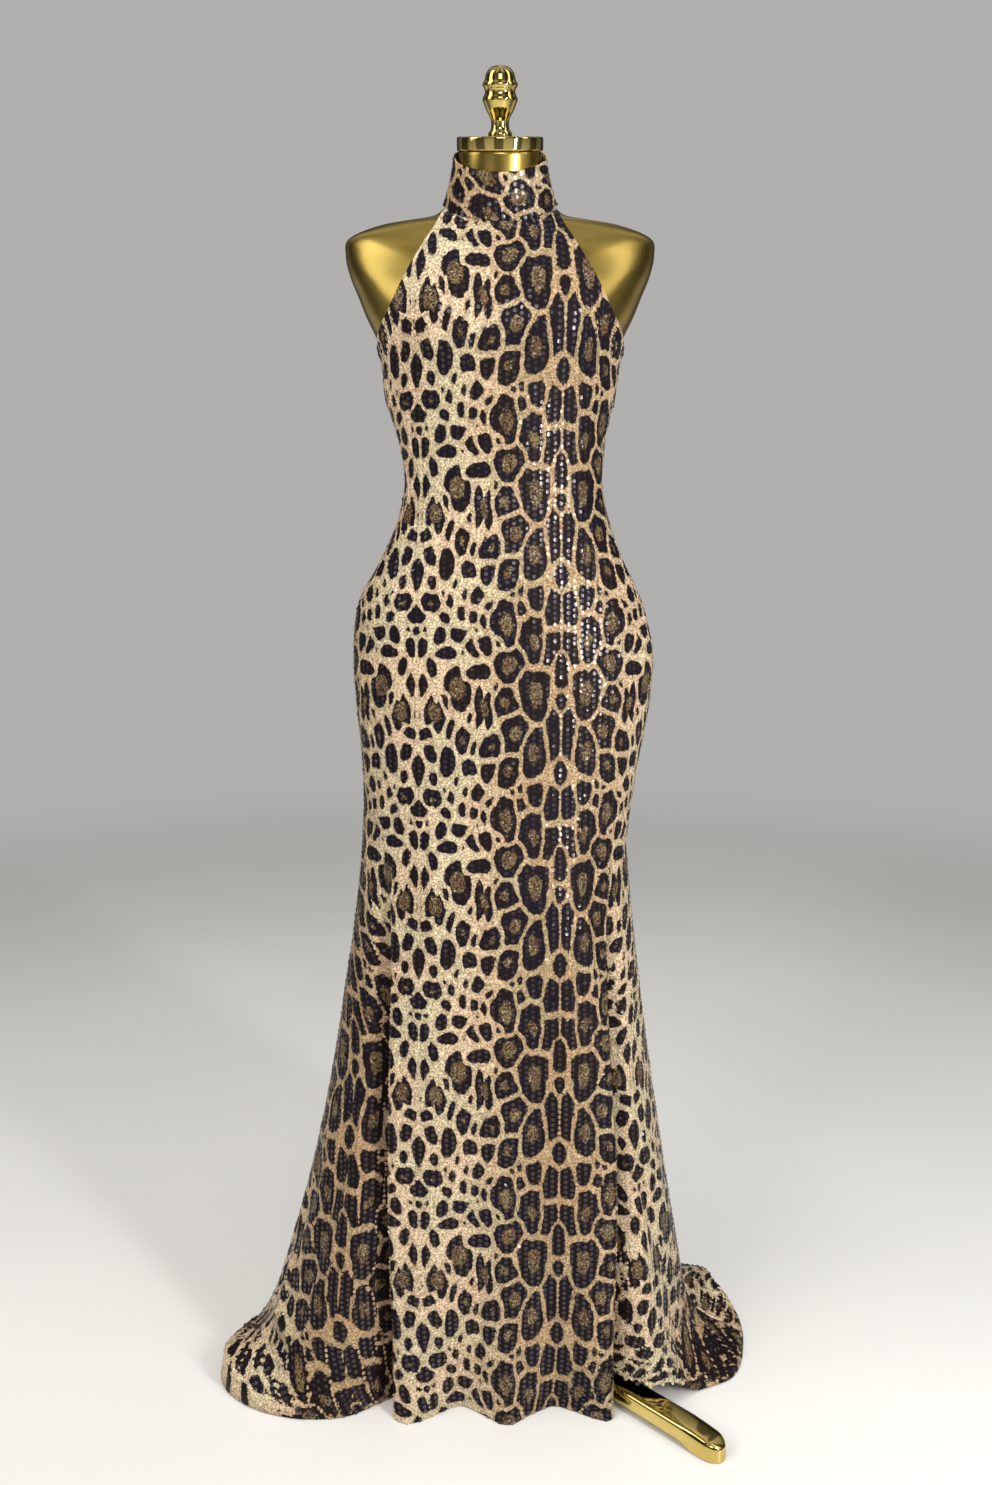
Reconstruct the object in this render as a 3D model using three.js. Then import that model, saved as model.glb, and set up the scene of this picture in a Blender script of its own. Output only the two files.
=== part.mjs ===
// Floor-length halter gown with a stand collar and a small train, worn by a limbless dress
// form on a tripod stand. Millimetres, +Z up, the front faces -Y, and the origin lies on the
// floor under the pole. An angle round the figure is 0 at the front and grows to the right (+X).
import * as THREE from 'three';

const { degToRad: rad, lerp, clamp, smoothstep } = THREE.MathUtils;

// ---------------------------------------------------------------- driving sizes
const WALL = 1.8; // thickness of the sequined cloth
const EASE = 3.2; // air between the form and the cloth
const YOKE_EASE = 1.8; // more air where the yoke bridges the hollows above the chest
const SEAM = 0.3; // gap between two sewn pieces
const FIT_GAP = 0.3; // gap between two hard pieces that touch
const COVER = EASE + WALL; // from the form's surface to the cloth's face

const UNDERARM_Z = 1378; // lowest point of the armholes
const SKIRT_TOP = 800; // the skirt flares below this height
const TRAIN_TOP = 65; // the cloth turns outwards on the floor below this height
const HEM_CLEAR = 1; // the hem's edge above the floor
const LIFT_TOP = 200; // the cloth lifted over the bare leg hangs free from here

const FORM_BASE_Z = 742; // flat underside of the form
const NECK_TILT = rad(16); // the neck leans forward
const NECK_TOP = { y: -30, z: 1621.5 }; // centre of the neck's flat top
const CAP = { radius: 53, height: 16, bevel: 1.5 };

const POLE_RADIUS = 12.5;
const HUB = { radius: 34, waist: 20, shoulder: 46, height: 72 };
const LEG = { length: 387, nose: 22, angles: { front_right: 47.2, left: -72.8, back: 167.2 } };

const ZIP = { halfWidth: 3, thickness: 1.1, end: 1040 }; // closed zip inside the centre back seam

// ---------------------------------------------------------------- tables
// The form, from its base to the neck: reach to the left, right, front and back of each level
// section, how square its corners are, the radius of the neck's root, how far the centre leans
// back (+) or forward (-), and the section's slope in degrees where the neck leans.
const FORM = [
  { z: 742, left: 180, right: 164, front: 104, back: 106, square: 2.1, neck: 0, lean: 0, tilt: 0 },
  { z: 800, left: 180, right: 174, front: 104, back: 109, square: 2.1, neck: 0, lean: 0, tilt: 0 },
  { z: 860, left: 181, right: 183, front: 103, back: 115, square: 2.1, neck: 0, lean: 0, tilt: 0 },
  { z: 930, left: 187, right: 195, front: 102, back: 122, square: 2.1, neck: 0, lean: 0, tilt: 0 },
  { z: 1000, left: 190, right: 199, front: 101, back: 122, square: 2.1, neck: 0, lean: 0, tilt: 0 },
  { z: 1068, left: 182, right: 184, front: 98, back: 107, square: 2.1, neck: 0, lean: 0, tilt: 0 },
  { z: 1125, left: 152, right: 157, front: 91, back: 88, square: 2.1, neck: 0, lean: 0, tilt: 0 },
  { z: 1175, left: 129, right: 138, front: 84, back: 74, square: 2.1, neck: 0, lean: 0, tilt: 0 },
  { z: 1225, left: 119, right: 129, front: 80, back: 68, square: 2.1, neck: 0, lean: 0, tilt: 0 },
  { z: 1280, left: 127, right: 132, front: 86, back: 74, square: 2.1, neck: 0, lean: 0, tilt: 0 },
  { z: 1330, left: 143, right: 143, front: 96, back: 83, square: 2.1, neck: 0, lean: 0, tilt: 0 },
  { z: 1378, left: 147.5, right: 150, front: 106, back: 89, square: 2.15, neck: 0, lean: 0, tilt: 0 },
  { z: 1405, left: 158, right: 158, front: 109, back: 92, square: 2.2, neck: 0, lean: 0, tilt: 0 },
  { z: 1430, left: 170, right: 170, front: 107, back: 93, square: 2.25, neck: 0, lean: 0, tilt: 0 },
  { z: 1455, left: 180, right: 180, front: 100, back: 92, square: 2.3, neck: 10, lean: 0, tilt: 0 },
  { z: 1480, left: 190, right: 190, front: 87, back: 88, square: 2.35, neck: 40, lean: -1, tilt: 0 },
  { z: 1505, left: 195, right: 195, front: 70, back: 79, square: 2.35, neck: 58, lean: -2, tilt: 0 },
  { z: 1525, left: 190, right: 190, front: 50, back: 62, square: 2.3, neck: 60, lean: -4, tilt: 0 },
  { z: 1540, left: 150, right: 150, front: 36, back: 46, square: 2.2, neck: 58, lean: -7, tilt: 0 },
  { z: 1550, left: 88, right: 88, front: 26, back: 34, square: 2.1, neck: 56, lean: -9, tilt: 0 },
  { z: 1560, left: 68, right: 68, front: 20, back: 26, square: 2, neck: 54, lean: -12, tilt: 2 },
  { z: 1575, left: 40, right: 40, front: 20, back: 20, square: 2, neck: 52.5, lean: -16.5, tilt: 6 },
  { z: 1595, left: 30, right: 30, front: 20, back: 20, square: 2, neck: 52, lean: -22, tilt: 11 },
];
const NECK_BLEND = 7; // how sharply the neck's round root runs into the shoulders

// The two bust cups of the form, each a soft swelling.
const BUST = { angle: 38, z: 1415, swell: 11, spread: 17, height: 46 };

// How far round the body the yoke reaches, in degrees from its middle, as the armholes cut it.
const ARMHOLE = [
  { z: 1378, front: 90, back: 90 },
  { z: 1393, front: 79, back: 78 },
  { z: 1407, front: 70, back: 68 },
  { z: 1424, front: 61, back: 59 },
  { z: 1442, front: 56, back: 54 },
  { z: 1470, front: 52.5, back: 50 },
  { z: 1500, front: 50.5, back: 48 },
  { z: 1565, front: 50, back: 47 },
];
const NECK_REACH = 84; // degrees of the neck seam that the front takes each way, and each back

// The two rings that bound the stand collar: half sizes, centre, height at the side, and how
// much lower the front and higher the back lie.
const NECK_SEAM = { across: 70, deep: 57.5, y: -13.5, z: 1566, drop: 35, rise: 20 };
const COLLAR_TOP = { across: 57, deep: 51.5, y: -26.5, z: 1618, drop: 33, rise: 26 };

// The skirt round its hem: reach of its straight fall at the floor, how late it flares, how far
// the train runs out on the floor, how high it lies there, and how far the hem is lifted.
const SKIRT = [
  { at: -180, fall: 330, late: 1.7, train: 96, lie: 10, lift: 0 },
  { at: -165, fall: 328, late: 1.7, train: 84, lie: 16, lift: 0 },
  { at: -148, fall: 320, late: 1.7, train: 58, lie: 10, lift: 0 },
  { at: -126, fall: 322, late: 1.6, train: 26, lie: 16, lift: 0 },
  { at: -106, fall: 340, late: 1.5, train: 8, lie: 14, lift: 0 },
  { at: -92, fall: 350, late: 1.5, train: 12, lie: 28, lift: 0 },
  { at: -82, fall: 350, late: 1.5, train: 44, lie: 30, lift: 0 },
  { at: -73, fall: 348, late: 1.5, train: 55, lie: 37, lift: 0 },
  { at: -65, fall: 338, late: 1.5, train: 44, lie: 26, lift: 0 },
  { at: -56, fall: 312, late: 1.4, train: 24, lie: 10, lift: 0 },
  { at: -48, fall: 270, late: 1.2, train: 10, lie: 8, lift: 0 },
  { at: -42, fall: 240, late: 1, train: 0, lie: 8, lift: 0 },
  { at: -33, fall: 214, late: 0.9, train: 0, lie: 8, lift: 0 },
  { at: -15, fall: 184, late: 0.9, train: 0, lie: 8, lift: 0 },
  { at: 0, fall: 180, late: 0.9, train: 0, lie: 8, lift: 0 },
  { at: 18, fall: 187, late: 0.9, train: 0, lie: 8, lift: 0 },
  { at: 36, fall: 226, late: 0.9, train: 0, lie: 8, lift: 0 },
  { at: 39.5, fall: 235, late: 1, train: 0, lie: 8, lift: 3 },
  { at: 43, fall: 246, late: 1, train: 0, lie: 8, lift: 38 },
  { at: 48, fall: 268, late: 1.1, train: 0, lie: 8, lift: 40 },
  { at: 54, fall: 280, late: 1.25, train: 2, lie: 8, lift: 37 },
  { at: 59, fall: 282, late: 1.3, train: 8, lie: 8, lift: 18 },
  { at: 64, fall: 283, late: 1.3, train: 24, lie: 8, lift: 0 },
  { at: 72, fall: 284, late: 1.3, train: 60, lie: 9, lift: 0 },
  { at: 84, fall: 284, late: 1.3, train: 72, lie: 13, lift: 0 },
  { at: 93, fall: 284, late: 1.3, train: 76, lie: 8, lift: 0 },
  { at: 101, fall: 285, late: 1.35, train: 78, lie: 26, lift: 0 },
  { at: 109, fall: 287, late: 1.4, train: 66, lie: 22, lift: 0 },
  { at: 118, fall: 290, late: 1.5, train: 32, lie: 10, lift: 0 },
  { at: 134, fall: 303, late: 1.6, train: 36, lie: 16, lift: 0 },
  { at: 152, fall: 320, late: 1.7, train: 66, lie: 20, lift: 0 },
  { at: 167, fall: 328, late: 1.7, train: 90, lie: 38, lift: 0 },
  { at: 180, fall: 330, late: 1.7, train: 96, lie: 10, lift: 0 },
];

// The folds that hang in the skirt: where the bottom of each valley starts and where it meets
// the floor, how deep it gets, and half its width.
const FOLDS = [
  { headX: -156, headY: -62, footX: -158, footY: -168, top: 765, depth: 62, half: 13 },
  { headX: 158, headY: -62, footX: 160, footY: -166, top: 750, depth: 48, half: 12 },
  { headX: -178, headY: -10, footX: -300, footY: -20, top: 560, depth: 12, half: 30 },
  { headX: 165, headY: 10, footX: 268, footY: 60, top: 520, depth: 16, half: 26 },
  { headX: -150, headY: 60, footX: -215, footY: 215, top: 620, depth: 30, half: 32 },
  { headX: -70, headY: 100, footX: -95, footY: 320, top: 600, depth: 32, half: 34 },
  { headX: 70, headY: 100, footX: 110, footY: 315, top: 640, depth: 34, half: 32 },
  { headX: 146, headY: 60, footX: 205, footY: 220, top: 600, depth: 28, half: 30 },
];

// The soft waves of the hem: how far each stands out (+) or in (-), half its width in degrees,
// and the height over which it fades.
const WAVES = [
  { at: -32, out: 22, half: 6.5, fade: 120 },
  { at: -18.5, out: -15, half: 7, fade: 120 },
  { at: 3, out: 20, half: 8, fade: 120 },
  { at: 25, out: -17, half: 7, fade: 120 },
  { at: 36.5, out: 14, half: 4.5, fade: 120 },
];

// Heights of the sections that the cloth is lofted through.
const YOKE_ROWS = [1, 0.86, 0.72, 0.58, 0.45, 0.32, 0.18, 0.08]; // share of the way up to the neck seam
const BODY_ROWS = [
  1378, 1325, 1270, 1215, 1165, 1110, 1055, 990, 920, 840, 750, 650, 550, 450, 340, 230, 135, 65,
];
const TRAIN_ROWS = [0.25, 0.5, 0.75, 0.93, 1]; // share of the way out to the hem

const HALF_FRONT_COLUMNS = 20;
const BACK_COLUMNS = 14;

// ---------------------------------------------------------------- curves and sections
// A smooth curve through one column of a table.
function curve(rows, key, column) {
  const last = rows.length - 1;
  const at = (i) => rows[i][key];
  const value = (i) => rows[i][column];
  const slope = (i) => {
    const [a, b] = [Math.max(i - 1, 0), Math.min(i + 1, last)];
    return (value(b) - value(a)) / (at(b) - at(a));
  };
  return (place) => {
    const p = clamp(place, at(0), at(last));
    let i = 0;
    while (i < last - 1 && p > at(i + 1)) i += 1;
    const step = at(i + 1) - at(i);
    const t = (p - at(i)) / step;
    const [t2, t3] = [t * t, t * t * t];
    return (
      (2 * t3 - 3 * t2 + 1) * value(i) + (3 * t2 - 2 * t3) * value(i + 1) +
      (t3 - 2 * t2 + t) * step * slope(i) + (t3 - t2) * step * slope(i + 1)
    );
  };
}

function curves(rows, key) {
  const names = Object.keys(rows[0]).filter((name) => name !== key);
  return Object.fromEntries(names.map((name) => [name, curve(rows, key, name)]));
}

const form = curves(FORM, 'z');
const armhole = curves(ARMHOLE, 'z');
const skirt = curves(SKIRT, 'at');

const turn = (degrees) => degrees - 360 * Math.round(degrees / 360);
const bell = (distance) => Math.exp(-distance * distance);

// Radius of a level section in one direction, with its own reach each way.
function oval(angle, left, right, front, back, square) {
  const [s, c] = [Math.sin(angle), Math.cos(angle)];
  const across = Math.abs(s) / (s < 0 ? left : right);
  const deep = Math.abs(c) / (c > 0 ? front : back);
  return (across ** square + deep ** square) ** (-1 / square);
}

function bodyRadius(degrees, z, cover) {
  const trunk = oval(
    rad(degrees), form.left(z) + cover, form.right(z) + cover, form.front(z) + cover,
    form.back(z) + cover, form.square(z),
  );
  const root = Math.max(form.neck(z), 0) + cover;
  const plain = (trunk ** NECK_BLEND + root ** NECK_BLEND) ** (1 / NECK_BLEND);
  const side = (Math.abs(turn(degrees)) - BUST.angle) / BUST.spread;
  return plain + BUST.swell * bell(side) * bell((z - BUST.z) / BUST.height);
}

// How far a point lies outside the form, measured level.
function formReach(point) {
  const forward = point.y - form.lean(point.z);
  const z = point.z - forward * Math.tan(rad(form.tilt(point.z)));
  const degrees = THREE.MathUtils.radToDeg(Math.atan2(point.x, -forward));
  return Math.hypot(point.x, forward) - bodyRadius(degrees, z, 0);
}

// Moves a point straight away from the form until it is at least `clear` outside it.
function keepClear(point, clear) {
  for (let pass = 0; pass < 5; pass += 1) {
    const reach = formReach(point);
    const slope = new THREE.Vector3(...['x', 'y', 'z'].map((axis) => {
      const moved = point.clone();
      moved[axis] += 0.5;
      return (formReach(moved) - reach) / 0.5;
    }));
    const short = clear - reach / slope.length();
    if (short > 0) point.addScaledVector(slope.normalize(), short);
  }
  return point;
}

// Depth of all the hanging folds in one direction at one height.
function foldDepth(degrees, z, radius) {
  let depth = 0;
  for (const fold of FOLDS) {
    if (z >= fold.top) continue;
    const up = z / fold.top;
    const x = lerp(fold.footX, fold.headX, up);
    const y = lerp(fold.footY, fold.headY, up);
    const centre = THREE.MathUtils.radToDeg(Math.atan2(x, -y));
    const away = rad(turn(degrees - centre)) * radius;
    const grown = smoothstep(1 - up, 0, 0.42);
    depth += fold.depth * grown * bell(away / (fold.half * lerp(1, 0.6, up)));
  }
  return depth;
}

function waveReach(degrees, z) {
  let reach = 0;
  for (const wave of WAVES) {
    reach += wave.out * bell(turn(degrees - wave.at) / wave.half) * Math.exp(-z / wave.fade);
  }
  return reach;
}

// Radius of the gown's face in one direction at one height.
function gownRadius(degrees, z) {
  const body = bodyRadius(degrees, z, COVER);
  if (z >= SKIRT_TOP) return body;
  const at = turn(degrees);
  const flare = Math.max(0, 1 - z / SKIRT_TOP) ** skirt.late(at);
  const hung = lerp(body, skirt.fall(at), flare);
  return hung - foldDepth(at, z, hung) + waveReach(at, z);
}

function polar(degrees, radius, z, y = 0) {
  return new THREE.Vector3(radius * Math.sin(rad(degrees)), y - radius * Math.cos(rad(degrees)), z);
}

function ringPoint(ring, degrees) {
  const c = Math.cos(rad(degrees));
  return new THREE.Vector3(
    ring.across * Math.sin(rad(degrees)), ring.y - ring.deep * c,
    ring.z - (c > 0 ? ring.drop : ring.rise) * c,
  );
}

// The seam between the yoke and the collar, and the way its edges face.
function neckSeamPoint(degrees) {
  return keepClear(ringPoint(NECK_SEAM, degrees), COVER);
}

function neckSeamNormal(degrees) {
  return polar(degrees, 1, 0.45).normalize();
}

// ---------------------------------------------------------------- the gown's surface
// Each panel is a grid of columns and rows. A column c runs from 0 in the middle of the front
// or back to 1 at the side seam, and is negative to the left of the front.
const ROWS = [
  ...YOKE_ROWS.map((up) => ({ up })),
  ...BODY_ROWS.map((z) => ({ z })),
  ...TRAIN_ROWS.map((out) => ({ out })),
];

// Direction of a column of the front. Towards the floor the columns crowd at the two folds.
function frontDirection(c, z) {
  const share = Math.abs(c);
  const fold = FOLDS[c < 0 ? 0 : 1];
  const up = clamp(z / fold.top, 0, 1);
  const x = lerp(fold.footX, fold.headX, up);
  const y = lerp(fold.footY, fold.headY, up);
  const valley = THREE.MathUtils.radToDeg(Math.atan2(Math.abs(x), -y));
  const stops = [
    [0, 0], [0.4, valley - 9.5], [0.5, valley - 4.5], [0.6, valley], [0.7, valley + 6], [1, 90],
  ];
  let i = 0;
  while (i < stops.length - 2 && share > stops[i + 1][0]) i += 1;
  const [[c0, a0], [c1, a1]] = [stops[i], stops[i + 1]];
  const crowded = a0 + ((share - c0) / (c1 - c0)) * (a1 - a0);
  const use = smoothstep(SKIRT_TOP + 60 - z, 0, 260);
  return Math.sign(c) * lerp(share * 90, crowded, use);
}

// side: 0 for the front, -1 or 1 for the left or right back.
function gownDirection(side, c, z) {
  if (side === 0) {
    return z > UNDERARM_Z ? c * armhole.front(z) : frontDirection(c, z);
  }
  return side * (180 - c * (z > UNDERARM_Z ? armhole.back(z) : 90));
}

function trainPoint(side, c, out) {
  const level = lerp(TRAIN_TOP, HEM_CLEAR, out);
  const degrees = gownDirection(side, c, level);
  const at = turn(degrees);
  const [train, lie] = [Math.max(0, skirt.train(at)), skirt.lie(at)];
  const laid = out < 1 ? lie + (TRAIN_TOP - lie) * (1 - out) ** 2.4 : HEM_CLEAR + 0.6;
  const share = smoothstep(train, 0, 30);
  const point = polar(degrees, gownRadius(degrees, level) + train * out ** 1.25, 0);
  point.z = lerp(level, laid, share);
  return point;
}

function gownPoint(side, c, row) {
  const { up, z, out } = ROWS[row];
  let point;
  if (up !== undefined) {
    const round = side === 0 ? c * NECK_REACH : side * (180 - c * NECK_REACH);
    const seam = neckSeamPoint(round);
    const level = lerp(UNDERARM_Z, seam.z, up);
    const degrees = gownDirection(side, c, level);
    point = polar(degrees, bodyRadius(degrees, level, COVER), level, form.lean(level));
    point.lerp(seam, smoothstep(up, 0.45, 1));
    if (up < 1) keepClear(point, COVER + YOKE_EASE * smoothstep(up, -0.25, 0.12));
  } else if (z !== undefined) {
    const degrees = gownDirection(side, c, z);
    point = polar(degrees, gownRadius(degrees, z), z);
  } else {
    point = trainPoint(side, c, out);
  }
  const lift = Math.max(0, skirt.lift(turn(THREE.MathUtils.radToDeg(Math.atan2(point.x, -point.y)))));
  if (point.z < LIFT_TOP) point.z += lift * (1 - point.z / LIFT_TOP) ** 2;
  return point;
}

// Half the seam's gap, taken at the side seams and at the centre back.
function seamGap(side, c) {
  if (side === 0) return new THREE.Vector3(0, (-SEAM / 2) * Math.abs(c), 0);
  return new THREE.Vector3((side * SEAM / 2) * (1 - c), (SEAM / 2) * c, 0);
}

// ---------------------------------------------------------------- closed walls from grids
// A wall from a grid of face points and one of back points, both [row][column], closed round
// its four edges.
function wallGeometry(face, back) {
  const [rows, columns] = [face.length, face[0].length];
  const places = [...face.flat(), ...back.flat()].flatMap((p) => [p.x, p.y, p.z]);
  const index = [];
  const id = (layer, r, c) => (layer * rows + r) * columns + c;
  const quad = (a, b, c, d) => index.push(a, b, c, a, c, d);
  for (let r = 0; r < rows - 1; r += 1) {
    for (let c = 0; c < columns - 1; c += 1) {
      quad(id(0, r, c), id(0, r + 1, c), id(0, r + 1, c + 1), id(0, r, c + 1));
      quad(id(1, r, c), id(1, r, c + 1), id(1, r + 1, c + 1), id(1, r + 1, c));
    }
    quad(id(0, r, 0), id(1, r, 0), id(1, r + 1, 0), id(0, r + 1, 0));
    const e = columns - 1;
    quad(id(0, r, e), id(0, r + 1, e), id(1, r + 1, e), id(1, r, e));
  }
  for (let c = 0; c < columns - 1; c += 1) {
    quad(id(0, 0, c), id(0, 0, c + 1), id(1, 0, c + 1), id(1, 0, c));
    const e = rows - 1;
    quad(id(0, e, c), id(1, e, c), id(1, e, c + 1), id(0, e, c + 1));
  }
  const geometry = new THREE.BufferGeometry();
  geometry.setAttribute('position', new THREE.Float32BufferAttribute(places, 3));
  geometry.setIndex(index);
  geometry.computeVertexNormals();
  return geometry;
}

// The outward normal of a surface point(c, row). `way` is 1 where c grows to the right as seen
// from outside and -1 where it grows to the left.
function outward(point, c, row, lastRow, way = 1) {
  const step = 0.004 * way;
  const across = point(c + step, row).sub(point(c - step, row));
  const down = point(c, Math.min(row + 1, lastRow)).sub(point(c, Math.max(row - 1, 0)));
  return down.cross(across).normalize();
}

const spread = (from, to, count) =>
  Array.from({ length: count + 1 }, (_, i) => lerp(from, to, i / count));

// Grids of a cloth wall: its face, moved off its seams, and its back one wall further in.
function clothGrids(columns, rowCount, point, normal, shift) {
  const face = [];
  const back = [];
  for (let row = 0; row < rowCount; row += 1) {
    const line = columns.map((c) => point(c, row).add(shift(c)));
    face.push(line);
    back.push(line.map((p, i) => p.clone().addScaledVector(normal(columns[i], row), -WALL)));
  }
  return { face, back };
}

function panelGrids(side) {
  const last = ROWS.length - 1;
  const point = (c, row) => gownPoint(side, c, row);
  const normal = (c, row) => {
    if (row === 0) return neckSeamNormal(side === 0 ? c * NECK_REACH : side * (180 - c * NECK_REACH));
    return outward(point, c, row, last, side > 0 ? -1 : 1);
  };
  let columns = spread(-1, 1, 2 * HALF_FRONT_COLUMNS);
  if (side < 0) columns = spread(0, 1, BACK_COLUMNS);
  if (side > 0) columns = spread(1, 0, BACK_COLUMNS);
  return clothGrids(columns, ROWS.length, point, normal, (c) => seamGap(side, c));
}

// ---------------------------------------------------------------- collar and zip
const COLLAR_ROWS = [1, 0.5, 0]; // share of the way up from the neck seam

// The collar's columns, as shares of a half turn, lie over those of the panels below it.
function collarColumns() {
  const front = spread(-NECK_REACH, NECK_REACH, 2 * HALF_FRONT_COLUMNS);
  const back = spread(180 - NECK_REACH, 180, BACK_COLUMNS);
  const left = back.map((degrees) => -degrees).reverse();
  return [...left, -90, ...front, 90, ...back].map((degrees) => degrees / 180);
}

function collarPoint(c, row) {
  const up = COLLAR_ROWS[row];
  const round = c * 180;
  const seam = neckSeamPoint(round);
  const top = ringPoint(COLLAR_TOP, round);
  const point = seam.clone().lerp(top, up);
  if (up === 0) return point.addScaledVector(top.sub(seam).normalize(), 2 * SEAM);
  const drawn = Math.sin(Math.PI * up) * 1.5; // the collar draws in a little between its rings
  point.add(polar(round, -drawn, 0));
  return keepClear(point, WALL + 1);
}

function collarNormal(c, row) {
  if (COLLAR_ROWS[row] === 0) return neckSeamNormal(c * 180);
  return outward(collarPoint, c, row, COLLAR_ROWS.length - 1);
}

function collarGrids() {
  const shift = (c) => new THREE.Vector3(Math.abs(c) < 1 ? 0 : (-c * SEAM) / 2, 0, 0);
  return clothGrids(collarColumns(), COLLAR_ROWS.length, collarPoint, collarNormal, shift);
}

// The zip is a strip behind the centre back seam, made from that seam's own points.
function zipGrids() {
  const seamLine = [];
  for (let row = 0; row < COLLAR_ROWS.length - 1; row += 1) {
    seamLine.push([collarPoint(1, row), collarNormal(1, row)]);
  }
  const point = (c, row) => gownPoint(-1, c, row);
  for (let row = 0; row < ROWS.length; row += 1) {
    if (ROWS[row].z < ZIP.end) break;
    seamLine.push([point(0, row), outward(point, 0, row, ROWS.length - 1)]);
  }
  const strip = (depth) => seamLine.map(([place, normal]) => [ZIP.halfWidth, -ZIP.halfWidth].map(
    (x) => new THREE.Vector3(x, place.y, place.z).addScaledVector(normal, -depth),
  ));
  const depth = WALL + 2 * SEAM;
  return { face: strip(depth), back: strip(depth + ZIP.thickness) };
}

// ---------------------------------------------------------------- the dress form
const FORM_COLUMNS = 44;
const FORM_ROWS = [
  742, 840, 920, 990, 1055, 1110, 1165, 1215, 1270, 1325, 1378, 1392, 1408, 1432, 1457, 1478,
  1497, 1514, 1528, 1540, 1550, 1560, 1575, 1595,
];

function formRing(z) {
  const tilt = Math.tan(rad(form.tilt(z)));
  return spread(0, 360, FORM_COLUMNS).slice(0, -1).map((degrees) => {
    const point = polar(degrees, bodyRadius(degrees, z, 0), z, form.lean(z));
    point.z += (point.y - form.lean(z)) * tilt;
    return point;
  });
}

function neckTopRing() {
  const radius = FORM.at(-1).neck - 0.5;
  return spread(0, 360, FORM_COLUMNS).slice(0, -1).map((degrees) => {
    const point = polar(degrees, radius, 0);
    const forward = point.y;
    point.y = NECK_TOP.y + forward * Math.cos(NECK_TILT);
    point.z = NECK_TOP.z + forward * Math.sin(NECK_TILT);
    return point;
  });
}

// A closed body through a stack of rings, capped flat at both ends.
function ringsGeometry(rings) {
  const count = rings[0].length;
  const middle = (ring) => ring.reduce((sum, p) => sum.add(p), new THREE.Vector3()).divideScalar(count);
  const points = [...rings.flat(), middle(rings[0]), middle(rings.at(-1))];
  const [low, high] = [points.length - 2, points.length - 1];
  const index = [];
  for (let i = 0; i < count; i += 1) {
    const next = (i + 1) % count;
    for (let r = 0; r < rings.length - 1; r += 1) {
      const [a, b] = [r * count + i, r * count + next];
      index.push(a, b, b + count, a, b + count, a + count);
    }
    const top = (rings.length - 1) * count;
    index.push(low, next, i, high, top + i, top + next);
  }
  const geometry = new THREE.BufferGeometry();
  const positions = points.flatMap((p) => p.toArray());
  geometry.setAttribute('position', new THREE.Float32BufferAttribute(positions, 3));
  geometry.setIndex(index);
  geometry.computeVertexNormals();
  return geometry;
}

// ---------------------------------------------------------------- turned pieces and legs
const TURNED_SIDES = 28;

// A turned body from radius and height pairs, standing on +Z.
function turnedGeometry(profile) {
  const points = profile.map(([radius, height]) => new THREE.Vector2(radius, height));
  return new THREE.LatheGeometry(points, TURNED_SIDES).rotateX(Math.PI / 2);
}

const CAP_PROFILE = [
  [0, 0], [CAP.radius - CAP.bevel, 0], [CAP.radius, CAP.bevel],
  [CAP.radius, CAP.height - CAP.bevel], [CAP.radius - CAP.bevel, CAP.height], [0, CAP.height],
];

// The knob: a flared foot, a stem, a lower bulb with a rim, a groove, a second rim and a dome.
const KNOB_PROFILE = [
  [0, 0], [14.5, 0], [14.5, 4], [11.6, 8], [10.8, 14], [12, 20], [15.5, 26], [18.2, 31.5],
  [20, 36], [21.2, 39.5], [21, 42], [19, 45.5], [18.2, 48.5], [18.8, 51], [21.2, 54.5], [21, 57],
  [18.8, 60.5], [17.8, 65], [15.6, 70], [11, 74.2], [5, 76.2], [0, 76.5],
];

const HUB_PROFILE = [
  [0, 0], [HUB.radius - 2, 0], [HUB.radius, 2], [HUB.radius, HUB.shoulder], [HUB.waist + 3, 58],
  [HUB.waist, 64], [HUB.waist, HUB.height], [0, HUB.height],
];

// A leg along its length: width, underside and top.
const LEG_ROWS = [
  { out: 34.3, width: 30, under: 10, top: 45 },
  { out: 80, width: 31, under: 11, top: 39 },
  { out: 150, width: 32.5, under: 10, top: 34 },
  { out: 230, width: 34, under: 9, top: 31 },
  { out: 300, width: 35, under: 8, top: 30 },
  { out: 336, width: 35.5, under: 7, top: 29.5 },
  { out: 346, width: 35.5, under: 0, top: 29 },
  { out: 364, width: 35, under: 0, top: 27 },
];
const LEG_NOSE = [0.45, 0.75, 0.93]; // sections through the rounded end, as shares of its length

function legRing({ out, width, under, top }) {
  const section = [
    [-0.5, 0], [0.5, 0], [0.48, 0.72], [0.37, 0.94], [0.2, 1], [-0.2, 1], [-0.37, 0.94], [-0.48, 0.72],
  ];
  return section.map(([across, up]) => new THREE.Vector3(across * width, -out, lerp(under, top, up)));
}

function legGeometry() {
  const rows = [...LEG_ROWS];
  const last = LEG_ROWS.at(-1);
  for (const share of LEG_NOSE) {
    const round = Math.sqrt(1 - share * share);
    rows.push({
      out: lerp(last.out, LEG.length, share), width: last.width * round, under: 0,
      top: last.top - 8 * share * share,
    });
  }
  return ringsGeometry(rows.map(legRing));
}

// ---------------------------------------------------------------- the assembly
const CLOTH = { color: 0x6f5638, roughness: 0.45, metalness: 0 };
const SATIN_GOLD = { color: 0xb08a22, roughness: 0.32, metalness: 1 };
const BRIGHT_GOLD = { color: 0xd2a935, roughness: 0.14, metalness: 1 };
const ZIP_NYLON = { color: 0x1d1713, roughness: 0.6, metalness: 0 };

function mesh(name, geometry, look) {
  const made = new THREE.Mesh(geometry, new THREE.MeshStandardMaterial(look));
  made.name = name;
  return made;
}

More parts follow.
